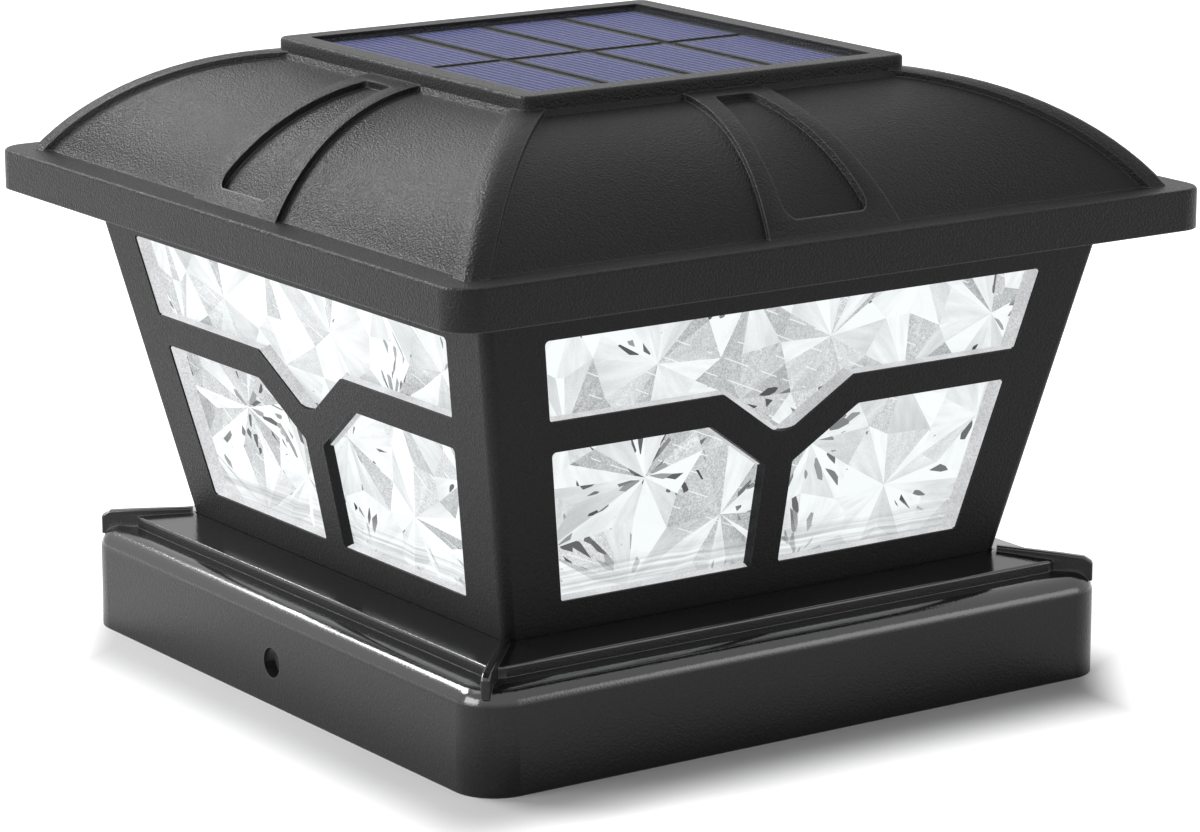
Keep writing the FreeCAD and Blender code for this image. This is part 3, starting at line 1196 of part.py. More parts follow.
def battery_cover():
    """Flat cover in the rails, with ribs for a finger."""
    top = DECK_LOW_Z - COVER_GAP
    low = top - COVER_PLATE_T
    body = block(-COVER_HALF_X, COVER_HALF_X, COVER_LOW_Y, COVER_HIGH_Y, low, top)
    body = body.makeFillet(COVER_CORNER_R, edges_where(body, on_level((low + top) / 2)))
    ribs = []
    for i in range(GRIP_COUNT):
        y = (COVER_LOW_Y + COVER_HIGH_Y) / 2 + (i - (GRIP_COUNT - 1) / 2) * GRIP_PITCH
        ribs.append(plate(GRIP_HALF_X, GRIP_T / 2, GRIP_R, low - GRIP_H, low + ROOT, 0, y))
    return body.fuse(ribs)


def button_flange_top():
    return DECK_TOP_Z + BUTTON_FLOAT + BUTTON_FLANGE_T


def power_button():
    """Round cap under the deck, flange above it, and the stem in the switch."""
    low = DECK_LOW_Z - BUTTON_PROUD
    flange_low = DECK_TOP_Z + BUTTON_FLOAT
    cap = rod(BUTTON_R, low, flange_low + ROOT, BUTTON_X, BUTTON_Y)
    cap = cap.makeFillet(BUTTON_EDGE_R, edges_where(cap, on_level(low)))
    flange = rod(BUTTON_FLANGE_R, flange_low, button_flange_top(), BUTTON_X, BUTTON_Y)
    stem = rod(STEM_R, button_flange_top() - ROOT, button_flange_top() + STEM_L, BUTTON_X, BUTTON_Y)
    return cap.fuse([flange, stem])


# ---------------------------------------------------------------- write every sub-part

os.makedirs("parts", exist_ok=True)

save("base_collar", base_collar())
save("base_gasket", base_gasket())
save("base_screws", base_screws())
save("floor_reflector", floor_reflector())
save("lantern_frame", lantern_frame())
for quarter, side in enumerate(("front", "right", "back", "left")):
    save("diffuser_" + side, turned(diffuser(), quarter))
save("frame_screws", frame_screws())
save("roof_cap", roof_cap())
save("roof_soffit", roof_soffit())
save("roof_screws", roof_screws())
save("roof_reflector", roof_reflector())
save("reflector_screws", reflector_screws())
save("solar_backing", solar_backing())
for number, (cell_x, cell_y) in enumerate(cell_places(), start=1):
    save("solar_cell_" + str(number), solar_cell(cell_x, cell_y))
save("solar_cover", solar_cover())
save("solar_gasket", solar_gasket())
save("solar_lead_red", solar_lead(-1))
save("solar_lead_black", solar_lead(1))
save("engine_housing", engine_housing())
save("housing_screws", housing_screws())
save("led_board", led_board())
for number, (led_x, led_y) in enumerate(led_places(), start=1):
    save("led_" + str(number), led(led_x, led_y))
save("led_board_screws", led_board_screws())
save("board_pins", board_pins())
save("control_board", control_board())
save("board_screws", board_screws())
save("driver_chip", driver_chip())
save("boost_inductor", boost_inductor())
save("storage_capacitor", storage_capacitor())
save("switch_body", switch_body())
save("battery_cell", battery_cell())
save("contact_positive", contact_positive())
save("contact_negative", contact_negative())
save("battery_cover", battery_cover())
save("power_button", power_button())
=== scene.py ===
import math

import bpy
import numpy as np
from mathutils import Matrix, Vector
from mathutils.geometry import delaunay_2d_cdt


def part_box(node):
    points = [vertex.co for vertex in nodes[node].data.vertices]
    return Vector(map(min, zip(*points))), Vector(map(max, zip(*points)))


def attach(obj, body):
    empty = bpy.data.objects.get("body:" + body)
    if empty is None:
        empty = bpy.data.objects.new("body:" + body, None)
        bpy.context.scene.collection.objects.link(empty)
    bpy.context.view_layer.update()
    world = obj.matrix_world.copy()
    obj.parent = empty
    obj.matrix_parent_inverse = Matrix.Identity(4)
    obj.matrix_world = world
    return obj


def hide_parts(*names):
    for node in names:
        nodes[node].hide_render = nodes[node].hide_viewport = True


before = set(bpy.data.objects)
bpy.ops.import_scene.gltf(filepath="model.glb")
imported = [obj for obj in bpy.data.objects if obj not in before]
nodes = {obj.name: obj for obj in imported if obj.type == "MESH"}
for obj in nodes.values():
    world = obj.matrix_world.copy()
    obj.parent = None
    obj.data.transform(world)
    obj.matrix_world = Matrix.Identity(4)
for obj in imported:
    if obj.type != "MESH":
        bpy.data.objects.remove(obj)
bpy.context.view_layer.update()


# ------------------------------------------------------------------ the studio
# White paper in a plain white room, lit by a large soft lamp on the left, a weak one on the right, one overhead and
# a long one high behind. A small lamp under the floor lights only the inside of the base, for views from below.
# The camera stands where the photograph's stood.

def node(tree, kind, feeds=None, **settings):
    """One shader node. feeds gives a value, or the socket to link, for each named or numbered input."""
    made = tree.nodes.new("ShaderNode" + kind)
    for name, value in settings.items():
        setattr(made, name, value)
    for key, value in (feeds or {}).items():
        if isinstance(value, bpy.types.NodeSocket):
            tree.links.new(value, made.inputs[key])
        else:
            made.inputs[key].default_value = value
    return made


def blank_material(name):
    """A node material with nothing in it, and its node tree."""
    material = bpy.data.materials.new(name)
    material.use_nodes = True
    material.node_tree.nodes.clear()
    return material, material.node_tree


def show(tree, shader):
    """Links a shader to the material's output."""
    node(tree, "OutputMaterial", {"Surface": shader})


def seen_ray(tree):
    """1 for the rays that show the room itself: from the camera, off a gloss or through glass."""
    path = node(tree, "LightPath")
    straight = node(tree, "Math", {0: path.outputs["Is Camera Ray"], 1: path.outputs["Is Glossy Ray"]},
                    operation="MAXIMUM")
    return node(tree, "Math", {0: straight.outputs[0], 1: path.outputs["Is Transmission Ray"]},
                operation="MAXIMUM").outputs[0]


# The floor's glow is dimmed inside the square below as a painted shadow round the base; the lit paper takes the lamps'
# real shadow besides.
shadow_shift = 0.008                        # the shadow's middle lies this far towards -X and -Y
shadow_from, shadow_to = 0.072, 0.098       # it fades out between these distances from its middle, square all round
corner_from, corner_to = 0.096, 0.110       # and between these past the two side corners
shadow_round = 0.012                        # rounding of the fading square's corners
sideways = (0.825, -0.565, 0.0)             # level direction through the two side corners, as photographed
paper_white = 0.95                          # glow of the paper beyond the shadow
under_base = 0.072                          # half-width of the part of the floor that the base hides


def paper_floor():
    """White paper with a soft shadow close to the base. The shadow is partly the lamps' real shadow on the lit paper
    and partly painted shadow: the paper's glow is dimmed near the base, and comes back to white away from it and past
    the two side corners. The paper can be seen through from below. Under the base it lets light through from below
    as well, though it is still seen through the screw holes."""
    material, tree = blank_material("studio_paper")
    place = node(tree, "TexCoord").outputs["Object"]
    grain = node(tree, "TexNoise", {"Vector": place, "Scale": 40.0, "Detail": 3.0})
    shade = node(tree, "MapRange", {"Value": grain.outputs["Fac"], "To Min": 0.56, "To Max": 0.60})
    lit = node(tree, "BsdfDiffuse", {"Color": shade.outputs["Result"]})
    moved = node(tree, "VectorMath", {0: place, 1: (shadow_shift, shadow_shift, 0.0)}, operation="ADD")
    across = node(tree, "VectorMath", {0: moved.outputs[0]}, operation="ABSOLUTE")
    across = node(tree, "SeparateXYZ", {"Vector": across.outputs[0]})
    far = node(tree, "Math", {0: across.outputs["X"], 1: across.outputs["Y"]}, operation="SMOOTH_MAX")
    far.inputs[2].default_value = shadow_round
    # Painted shadow: the paper's glow is dimmed close to the base.
    fade = node(tree, "MapRange", {"Value": far.outputs[0], "From Min": shadow_from, "From Max": shadow_to,
                                   "To Min": 0.02, "To Max": paper_white}, interpolation_type="SMOOTHSTEP")
    # The painted shadow is cut off past the two side corners.
    aside = node(tree, "VectorMath", {0: place, 1: sideways}, operation="DOT_PRODUCT")
    aside = node(tree, "Math", {0: aside.outputs["Value"]}, operation="ABSOLUTE")
    aside = node(tree, "MapRange", {"Value": aside.outputs[0], "From Min": corner_from, "From Max": corner_to,
                                    "To Min": 0.0, "To Max": paper_white}, interpolation_type="SMOOTHSTEP")
    fade = node(tree, "Math", {0: fade.outputs["Result"], 1: aside.outputs["Result"]}, operation="MAXIMUM")
    glow = node(tree, "Emission", {"Strength": fade.outputs[0]})
    unseen = node(tree, "BsdfTransparent", {"Color": (0.0, 0.0, 0.0, 1.0)})
    seen_only = node(tree, "MixShader", {0: seen_ray(tree), 1: unseen.outputs[0], 2: glow.outputs[0]})
    front = node(tree, "AddShader", {0: lit.outputs[0], 1: seen_only.outputs[0]})
    clear = node(tree, "BsdfTransparent")
    side = node(tree, "NewGeometry")
    from_middle = node(tree, "VectorMath", {0: place}, operation="ABSOLUTE")
    from_middle = node(tree, "SeparateXYZ", {"Vector": from_middle.outputs[0]})
    from_middle = node(tree, "Math", {0: from_middle.outputs["X"], 1: from_middle.outputs["Y"]}, operation="MAXIMUM")
    cut_out = node(tree, "Math", {0: from_middle.outputs[0], 1: under_base}, operation="LESS_THAN")
    rays = node(tree, "LightPath")
    cut_out = node(tree, "Math", {0: cut_out.outputs[0], 1: rays.outputs["Is Camera Ray"]}, operation="SUBTRACT")
    cut_out = node(tree, "Math", {0: cut_out.outputs[0], 1: side.outputs["Backfacing"]}, operation="MAXIMUM")
    both = node(tree, "MixShader", {0: cut_out.outputs[0], 1: front.outputs[0], 2: clear.outputs[0]})
    show(tree, both.outputs[0])
    return material


floor_reach = 3.0
floor_mesh = bpy.data.meshes.new("studio_floor")
floor_mesh.from_pydata([(-floor_reach, -floor_reach, 0), (floor_reach, -floor_reach, 0),
                        (floor_reach, floor_reach, 0), (-floor_reach, floor_reach, 0)], [], [(0, 1, 2, 3)])
floor_mesh.materials.append(paper_floor())
floor = bpy.data.objects.new("studio_floor", floor_mesh)
bpy.context.collection.objects.link(floor)

world = bpy.data.worlds.new("studio_room")
bpy.context.scene.world = world
world.use_nodes = True
world.node_tree.nodes.clear()
room_fill = 0.20                            # strength of the room's light on the object; it is seen at 1, white
room_level = node(world.node_tree, "MapRange", {"Value": seen_ray(world.node_tree), "To Min": room_fill,
                                                "To Max": 1.0})
room_light = node(world.node_tree, "Background", {"Color": (1.0, 1.0, 1.0, 1.0),
                                                  "Strength": room_level.outputs["Result"]})
node(world.node_tree, "OutputWorld", {"Surface": room_light.outputs[0]})


def soft_lamp(name, place, aim, width, height, watts, spread=180.0):
    """A rectangular soft lamp that faces a point, its light kept within the spread in degrees."""
    data = bpy.data.lights.new(name, "AREA")
    data.shape = "RECTANGLE"
    data.size = width
    data.size_y = height
    data.energy = watts
    data.spread = math.radians(spread)
    lamp = bpy.data.objects.new(name, data)
    lamp.location = place
    lamp.rotation_euler = (Vector(aim) - Vector(place)).to_track_quat("-Z", "Y").to_euler()
    bpy.context.collection.objects.link(lamp)


soft_lamp("left_lamp", (-1.25, 0.10, 0.50), (0.0, 0.0, 0.05), 0.9, 0.7, 12.0)
soft_lamp("overhead_lamp", (-0.20, 0.30, 1.25), (0.0, 0.0, 0.05), 0.9, 0.8, 3.5)
soft_lamp("back_lamp", (-0.45, 1.00, 0.95), (0.0, 0.0, 0.08), 0.9, 0.30, 18.0)
soft_lamp("right_lamp", (0.95, -1.20, 0.45), (0.0, 0.0, 0.05), 0.6, 0.6, 2.0)
soft_lamp("socket_lamp", (0.0, 0.0, -0.26), (0.0, 0.0, 0.0), 0.04, 0.04, 0.10, 28.0)

look_down, turned = 13.47, 34.535           # degrees below level, and round from facing +Y
camera_data = bpy.data.cameras.new("photo_camera")
camera_data.sensor_width = 36.0
camera_data.lens = 140.25
camera = bpy.data.objects.new("photo_camera", camera_data)
camera.location = (-0.519439, -0.759052, 0.268437)
camera.rotation_euler = (math.radians(90.0 - look_down), 0.0, math.radians(-turned))
bpy.context.collection.objects.link(camera)
scene = bpy.context.scene
scene.camera = camera
scene.view_settings.view_transform = "Standard"


# ------------------------------------------------------------------ base collar
# One moulding in satin black ABS that slips over the post: skirt, rounded shoulder, raised lip, thin corner webs
# and the deck. The grain of the mould is fine, and edges are a little polished from handling; the paler line along
# them is partly that wear and partly a painted highlight.

def shader_group(name, inputs, outputs):
    """An empty shader group with named sockets. inputs hold (name, kind, default); outputs hold (name, kind)."""
    group = bpy.data.node_groups.new(name, "ShaderNodeTree")
    for label, kind, default in inputs:
        socket = group.interface.new_socket(label, in_out="INPUT", socket_type="NodeSocket" + kind)
        if default is not None:
            socket.default_value = default
    for label, kind in outputs:
        group.interface.new_socket(label, in_out="OUTPUT", socket_type="NodeSocket" + kind)
    return group, group.nodes.new("NodeGroupInput").outputs, group.nodes.new("NodeGroupOutput")


def use_group(tree, group, feeds):
    """Places a shader group in a material with its own values."""
    return node(tree, "Group", feeds, node_tree=group)


def build_moulded_grain():
    """Fine pebbled grain of a textured mould, and a slow drift of tone over the moulding."""
    group, given, out = shader_group(
        "moulded_grain",
        [("Vector", "Vector", None), ("Grain Scale", "Float", 2600.0), ("Drift Scale", "Float", 22.0)],
        [("Height", "Float"), ("Tone", "Float"), ("Speck", "Float")])
    fine = node(group, "TexNoise", {"Vector": given["Vector"], "Scale": given["Grain Scale"], "Detail": 3.0,
                                    "Roughness": 0.62})
    pebble = node(group, "TexVoronoi", {"Vector": given["Vector"], "Scale": given["Grain Scale"]}, feature="SMOOTH_F1")
    height = node(group, "Math", {0: fine.outputs["Fac"], 1: pebble.outputs["Distance"]}, operation="SUBTRACT")
    drift = node(group, "TexNoise", {"Vector": given["Vector"], "Scale": given["Drift Scale"], "Detail": 2.0})
    tone = node(group, "MapRange", {"Value": drift.outputs["Fac"], "From Min": 0.3, "From Max": 0.7,
                                    "To Min": 0.90, "To Max": 1.10})
    speck = node(group, "MapRange", {"Value": fine.outputs["Fac"], "From Min": 0.35, "From Max": 0.68,
                                     "To Min": 0.72, "To Max": 1.35})
    for label, socket in (("Height", height.outputs[0]), ("Tone", tone.outputs["Result"]),
                          ("Speck", speck.outputs["Result"])):
        group.links.new(socket, out.inputs[label])
    return group


def build_edge_wear_and_highlight():
    """Mask of the sharp edges: where the surface's normal differs from its softened normal."""
    group, given, out = shader_group("edge_wear_and_highlight", [("Radius", "Float", 0.0005), ("Reach", "Float", 0.25)],
                                     [("Mask", "Float")])
    soft = node(group, "Bevel", {"Radius": given["Radius"]}, samples=4)
    plain = node(group, "NewGeometry")
    alike = node(group, "VectorMath", {0: soft.outputs["Normal"], 1: plain.outputs["Normal"]}, operation="DOT_PRODUCT")
    apart = node(group, "Math", {0: 1.0, 1: alike.outputs["Value"]}, operation="SUBTRACT")
    mask = node(group, "MapRange", {"Value": apart.outputs[0], "From Min": 0.02, "From Max": given["Reach"]})
    group.links.new(mask.outputs["Result"], out.inputs["Mask"])
    return group


moulded_grain = build_moulded_grain()
edge_wear_and_highlight = build_edge_wear_and_highlight()
side_until, top_from = 0.12, 0.35           # Z of the normal up to which a face is a side, and from which it is a top


def moulded(name, colour, wear_and_highlight_colour, roughness, gloss, grain_scale, grain_depth, top_roughness=None,
            top_gloss=None):
    """Moulded plastic: grain in its height and tone, and a paler line along its edges that is partly wear and partly
    a painted highlight. Its tops can be smoother and glossier than its sides, and the value between them goes
    straight from one to the other with the normal's Z."""
    material, tree = blank_material(name)
    place = node(tree, "TexCoord").outputs["Object"]
    grain = use_group(tree, moulded_grain, {"Vector": place, "Grain Scale": grain_scale})
    edge = use_group(tree, edge_wear_and_highlight, {})
    toned = node(tree, "Math", {0: grain.outputs["Tone"], 1: grain.outputs["Speck"]}, operation="MULTIPLY")
    body = node(tree, "MixRGB", {"Fac": 1.0, "Color1": (*colour, 1.0), "Color2": toned.outputs[0]},
                blend_type="MULTIPLY")
    # The paler line along the edges is partly wear and partly a painted highlight.
    worn_and_highlit = node(tree, "MixRGB", {"Fac": edge.outputs["Mask"], "Color1": body.outputs[0],
                                 "Color2": (*wear_and_highlight_colour, 1.0)})
    upward = node(tree, "SeparateXYZ", {"Vector": node(tree, "NewGeometry").outputs["Normal"]}).outputs["Z"]

    def by_slope(side, top):
        """The side's value alone, or where the top has its own, the value for each slope between the two."""
        if top is None:
            return side
        return node(tree, "MapRange", {"Value": upward, "From Min": side_until, "From Max": top_from,
                                       "To Min": side, "To Max": top}).outputs["Result"]

    rough = node(tree, "MapRange", {"Value": grain.outputs["Speck"], "From Min": 0.7, "From Max": 1.35,
                                    "To Min": 0.05, "To Max": -0.05})
    rough = node(tree, "Math", {0: by_slope(roughness, top_roughness), 1: rough.outputs["Result"]}, operation="ADD")
    bump = node(tree, "Bump", {"Strength": by_slope(0.8, 0.25 if top_roughness else None),
                               "Distance": grain_depth, "Height": grain.outputs["Height"]})
    skin = node(tree, "BsdfPrincipled", {"Base Color": worn_and_highlit.outputs[0], "Roughness": rough.outputs[0],
                                         "Specular IOR Level": by_slope(gloss, top_gloss),
                                         "Normal": bump.outputs[0]})
    show(tree, skin.outputs[0])
    return material


def dress(material, *names):
    """Gives CAD nodes their material in every slot."""
    for name in names:
        slots = nodes[name].data.materials
        if len(slots) == 0:
            slots.append(material)
        for i in range(len(slots)):
            slots[i] = material


join_within = 0.000002          # points closer than this become one
flat_within = 0.4               # degrees between triangles that become one face
sharp_from = 32.0               # degrees between faces whose edge is rounded


def soften_edges(name, width):
    """Rounds the sharp edges of a CAD moulding: its loose triangles are joined into whole faces, then bevelled."""
    weld = nodes[name].modifiers.new("join", "WELD")
    weld.merge_threshold = join_within
    whole = nodes[name].modifiers.new("whole_faces", "DECIMATE")
    whole.decimate_type = "DISSOLVE"
    whole.angle_limit = math.radians(flat_within)
    round_off = nodes[name].modifiers.new("round_off", "BEVEL")
    round_off.width = width
    round_off.segments = 2
    round_off.limit_method = "ANGLE"
    round_off.angle_limit = math.radians(sharp_from)
    round_off.harden_normals = False
    round_off.miter_outer = "MITER_ARC"


dress(moulded("base_plastic", (0.014, 0.014, 0.0145), (0.080, 0.080, 0.080), 0.30, 0.24, 2200.0, 0.00005, 0.13, 0.95),
      "base_collar")
soften_edges("base_collar", 0.00025)


# ------------------------------------------------------------------ lantern frame
# The inverted pyramid is one moulding with a finer, drier grain than the base. Each face has a wide window over
# two small ones, with a rounded point between them.

frame_plastic = moulded("frame_plastic", (0.013, 0.013, 0.0135), (0.045, 0.045, 0.045), 0.44, 0.14, 2200.0, 0.00009)
dress(frame_plastic, "lantern_frame")
soften_edges("lantern_frame", 0.00025)


# ------------------------------------------------------------------ crystal panels
# Clear moulded panels stand behind the windows. Their outer side is cut like ice: long facets fan out from a few
# stars. The same mould serves all four faces. The panels glow with painted light, and each facet has its own
# painted tone of light and shade.

frame_low, frame_low_half = 0.0243, 0.05875         # foot of the frame's slope and its half-width there
frame_top, frame_top_half = 0.0914, 0.0729          # head of the slope and its half-width there
window_low, window_low_half = 0.0306, 0.0472        # the windows' sill and half-width there
window_top, window_top_half = 0.0840, 0.0583        # the windows' top and half-width there
sides = ("front", "right", "back", "left")          # by quarter turns from -Y


def frame_half(z):
    """Half-width of the frame's outside at height z: a straight line between its foot and its head."""
    return frame_low_half + (frame_top_half - frame_low_half) / (frame_top - frame_low) * (z - frame_low)


def window_half(z):
    """Half-width of the windows at height z: a straight line between the sill and the top."""
    return window_low_half + (window_top_half - window_low_half) / (window_top - window_low) * (z - window_low)


def on_face(points, quarter):
    """Points (across, height, depth behind the frame's outside) of the front face, turned by quarter turns."""
    across, height, depth = points[:, 0], points[:, 1], points[:, 2]
    out = frame_half(height) - depth
    turn = quarter * math.pi / 2
    x = across * math.cos(turn) + out * math.sin(turn)
    y = across * math.sin(turn) - out * math.cos(turn)
    return np.stack([x, y, height], axis=1)


def mesh_piece(name, points, faces, material, body="lamp"):
    """A mesh object from arrays of points and faces, riding on a CAD body."""
    mesh = bpy.data.meshes.new(name)
    mesh.from_pydata(points.tolist(), [], [list(f) for f in faces])
    mesh.materials.append(material)
    mesh.validate()
    piece = bpy.data.objects.new(name, mesh)
    bpy.context.collection.objects.link(piece)
    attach(piece, body)
    return piece


panel_behind = 0.00255          # panel's outer plane behind the frame's outside
panel_thick = 0.0026
panel_low, panel_top = 0.0280, 0.0915
panel_margin = 0.0016           # panel's edge beyond the windows' side

# Stars of the cut, the points from which its facets fan out: a lattice of rhombi two steps wide and two drops high,
# each star a little off its place.
star_left, star_top = -0.050, 0.0760
star_step, star_drop, star_play = 0.020, 0.0114, 0.0009
star_draw = np.random.default_rng(3)
stars = np.array([(star_left + star_step * column, star_top - star_drop * row)
                  for column in range(6) for row in range(-1, 5) if (column + row) % 2 == 1])
stars = stars + star_draw.uniform(-star_play, star_play, stars.shape)
stars = stars[(np.abs(stars[:, 0]) < window_half(stars[:, 1]) + 0.0005) & (stars[:, 1] > panel_low + 0.0010)]


def panel_rim():
    """Points round a panel's edge, counterclockwise, a centimetre or so apart: the edge follows window_half(z) and
    the panel's margin."""
    rim_z = np.linspace(panel_low, panel_top, 6)
    rim_u = window_half(rim_z) + panel_margin
    side = np.stack([rim_u, rim_z], axis=1)
    top = np.stack([np.linspace(rim_u[-1], -rim_u[-1], 11)[1:-1], np.full(9, panel_top)], axis=1)
    low = np.stack([np.linspace(-rim_u[0], rim_u[0], 9)[1:-1], np.full(7, panel_low)], axis=1)
    return np.concatenate([side, top, side[::-1] * (-1, 1), low])


def triangles_of(points, edges):
    """Delaunay triangles that keep the given edges. Each new point comes back as the index of the given one."""
    made = delaunay_2d_cdt([Vector(p) for p in points.tolist()], [tuple(e) for e in edges], [], 1, 1e-8)
    given = np.array([group[0] for group in made[3]])
    return given[np.array(made[2])]


star_depth, valley_depth, inside_depth = 0.1, (1.0, 1.9), (0.3, 1.2)   # mm of the cut below the panel's outer plane


def cut_panel(draw):
    """Flat facets between the stars. The triangles that join the stars are split at the middles of their sides,
    which are the valleys, and at their own middles. Each kind of point is drawn from its own range of depths."""
    rim = panel_rim()
    first = len(rim)
    points = np.concatenate([rim, stars])
    ring = [(i, (i + 1) % first) for i in range(first)]
    broad = triangles_of(points, ring)
    depth = [0.0] * first + [star_depth] * len(stars)
    extra, edges, middles = [], list(ring), {}
    for tri in broad.tolist():
        if max(tri) < first:
            continue
        centre = len(points) + len(extra)
        weight = draw.uniform(0.6, 1.4, 3)
        extra.append((points[tri] * (weight / weight.sum())[:, None]).sum(axis=0))
        depth.append(draw.uniform(*inside_depth))
        for a, b in ((tri[0], tri[1]), (tri[1], tri[2]), (tri[2], tri[0])):
            edges.append((centre, a))
            key = (min(a, b), max(a, b))
            if key[0] < first:
                edges.append(key)
                continue
            if key not in middles:
                middles[key] = len(points) + len(extra)
                share = draw.uniform(0.38, 0.62)
                extra.append(points[a] * share + points[b] * (1 - share))
                depth.append(draw.uniform(*valley_depth))
                edges += [(middles[key], a), (middles[key], b)]
            edges.append((centre, middles[key]))
    flat = np.concatenate([points, np.array(extra)])
    front = np.column_stack([flat, panel_behind + np.array(depth) * 0.001])
    back = np.column_stack([rim, np.full(first, panel_behind + panel_thick)])
    return np.concatenate([front, back]), triangles_of(flat, edges), first


# Painted tones of light for the facets: bright, grey and frosted.
bright_tone, grey_tone, frosted_tone = (0.97, 1.03), (0.88, 1.01), (0.76, 0.87)
zone_wide, zone_high = 0.017, 0.013     # how fast the frosted zones come and go, across and up the panel


def facet_marks(points, tri, draw):
    """For each triangle its painted tone of light, and at its corners a place in mm along and across it, with a random
    number. Facets round a star are painted bright and grey by turns, and many are frosted where sin(x / wide) +
    sin(z / high), each with a phase of its own, is high."""
    flat = points[:, :2]
    middle = flat[tri].mean(axis=1)
    gap = np.linalg.norm(middle[:, None, :] - stars[None, :, :], axis=2)
    star = gap.argmin(axis=1)
    along = middle - stars[star]
    turn = np.arctan2(along[:, 1], along[:, 0])
    order = np.lexsort((turn, star))
    rank = np.empty(len(tri), int)
    rank[order] = np.arange(len(tri))
    phase = draw.uniform(0, 2 * math.pi, 2)
    zone = np.sin(middle[:, 0] / zone_wide + phase[0]) + np.sin(middle[:, 1] / zone_high + phase[1])
    frosted = (zone + draw.uniform(-0.8, 0.8, len(tri)) > 0.75) | (draw.uniform(0, 1, len(tri)) < 0.10)
    tone = np.where(rank % 2 == 0, draw.uniform(*bright_tone, len(tri)), draw.uniform(*grey_tone, len(tri)))
    tone = np.where(frosted & ((rank % 2 == 1) | (draw.uniform(0, 1, len(tri)) < 0.45)),
                    draw.uniform(*frosted_tone, len(tri)), tone)
    along = along / np.linalg.norm(along, axis=1)[:, None]
    away = (flat[tri] - stars[star][:, None, :]) * 1000.0
    u = (away * along[:, None, :]).sum(axis=2)
    v = away[:, :, 1] * along[:, None, 0] - away[:, :, 0] * along[:, None, 1]
    tag = np.repeat(draw.uniform(0, 1, len(tri))[:, None], 3, axis=1)
    return tone, np.stack([u, v, tag], axis=2)


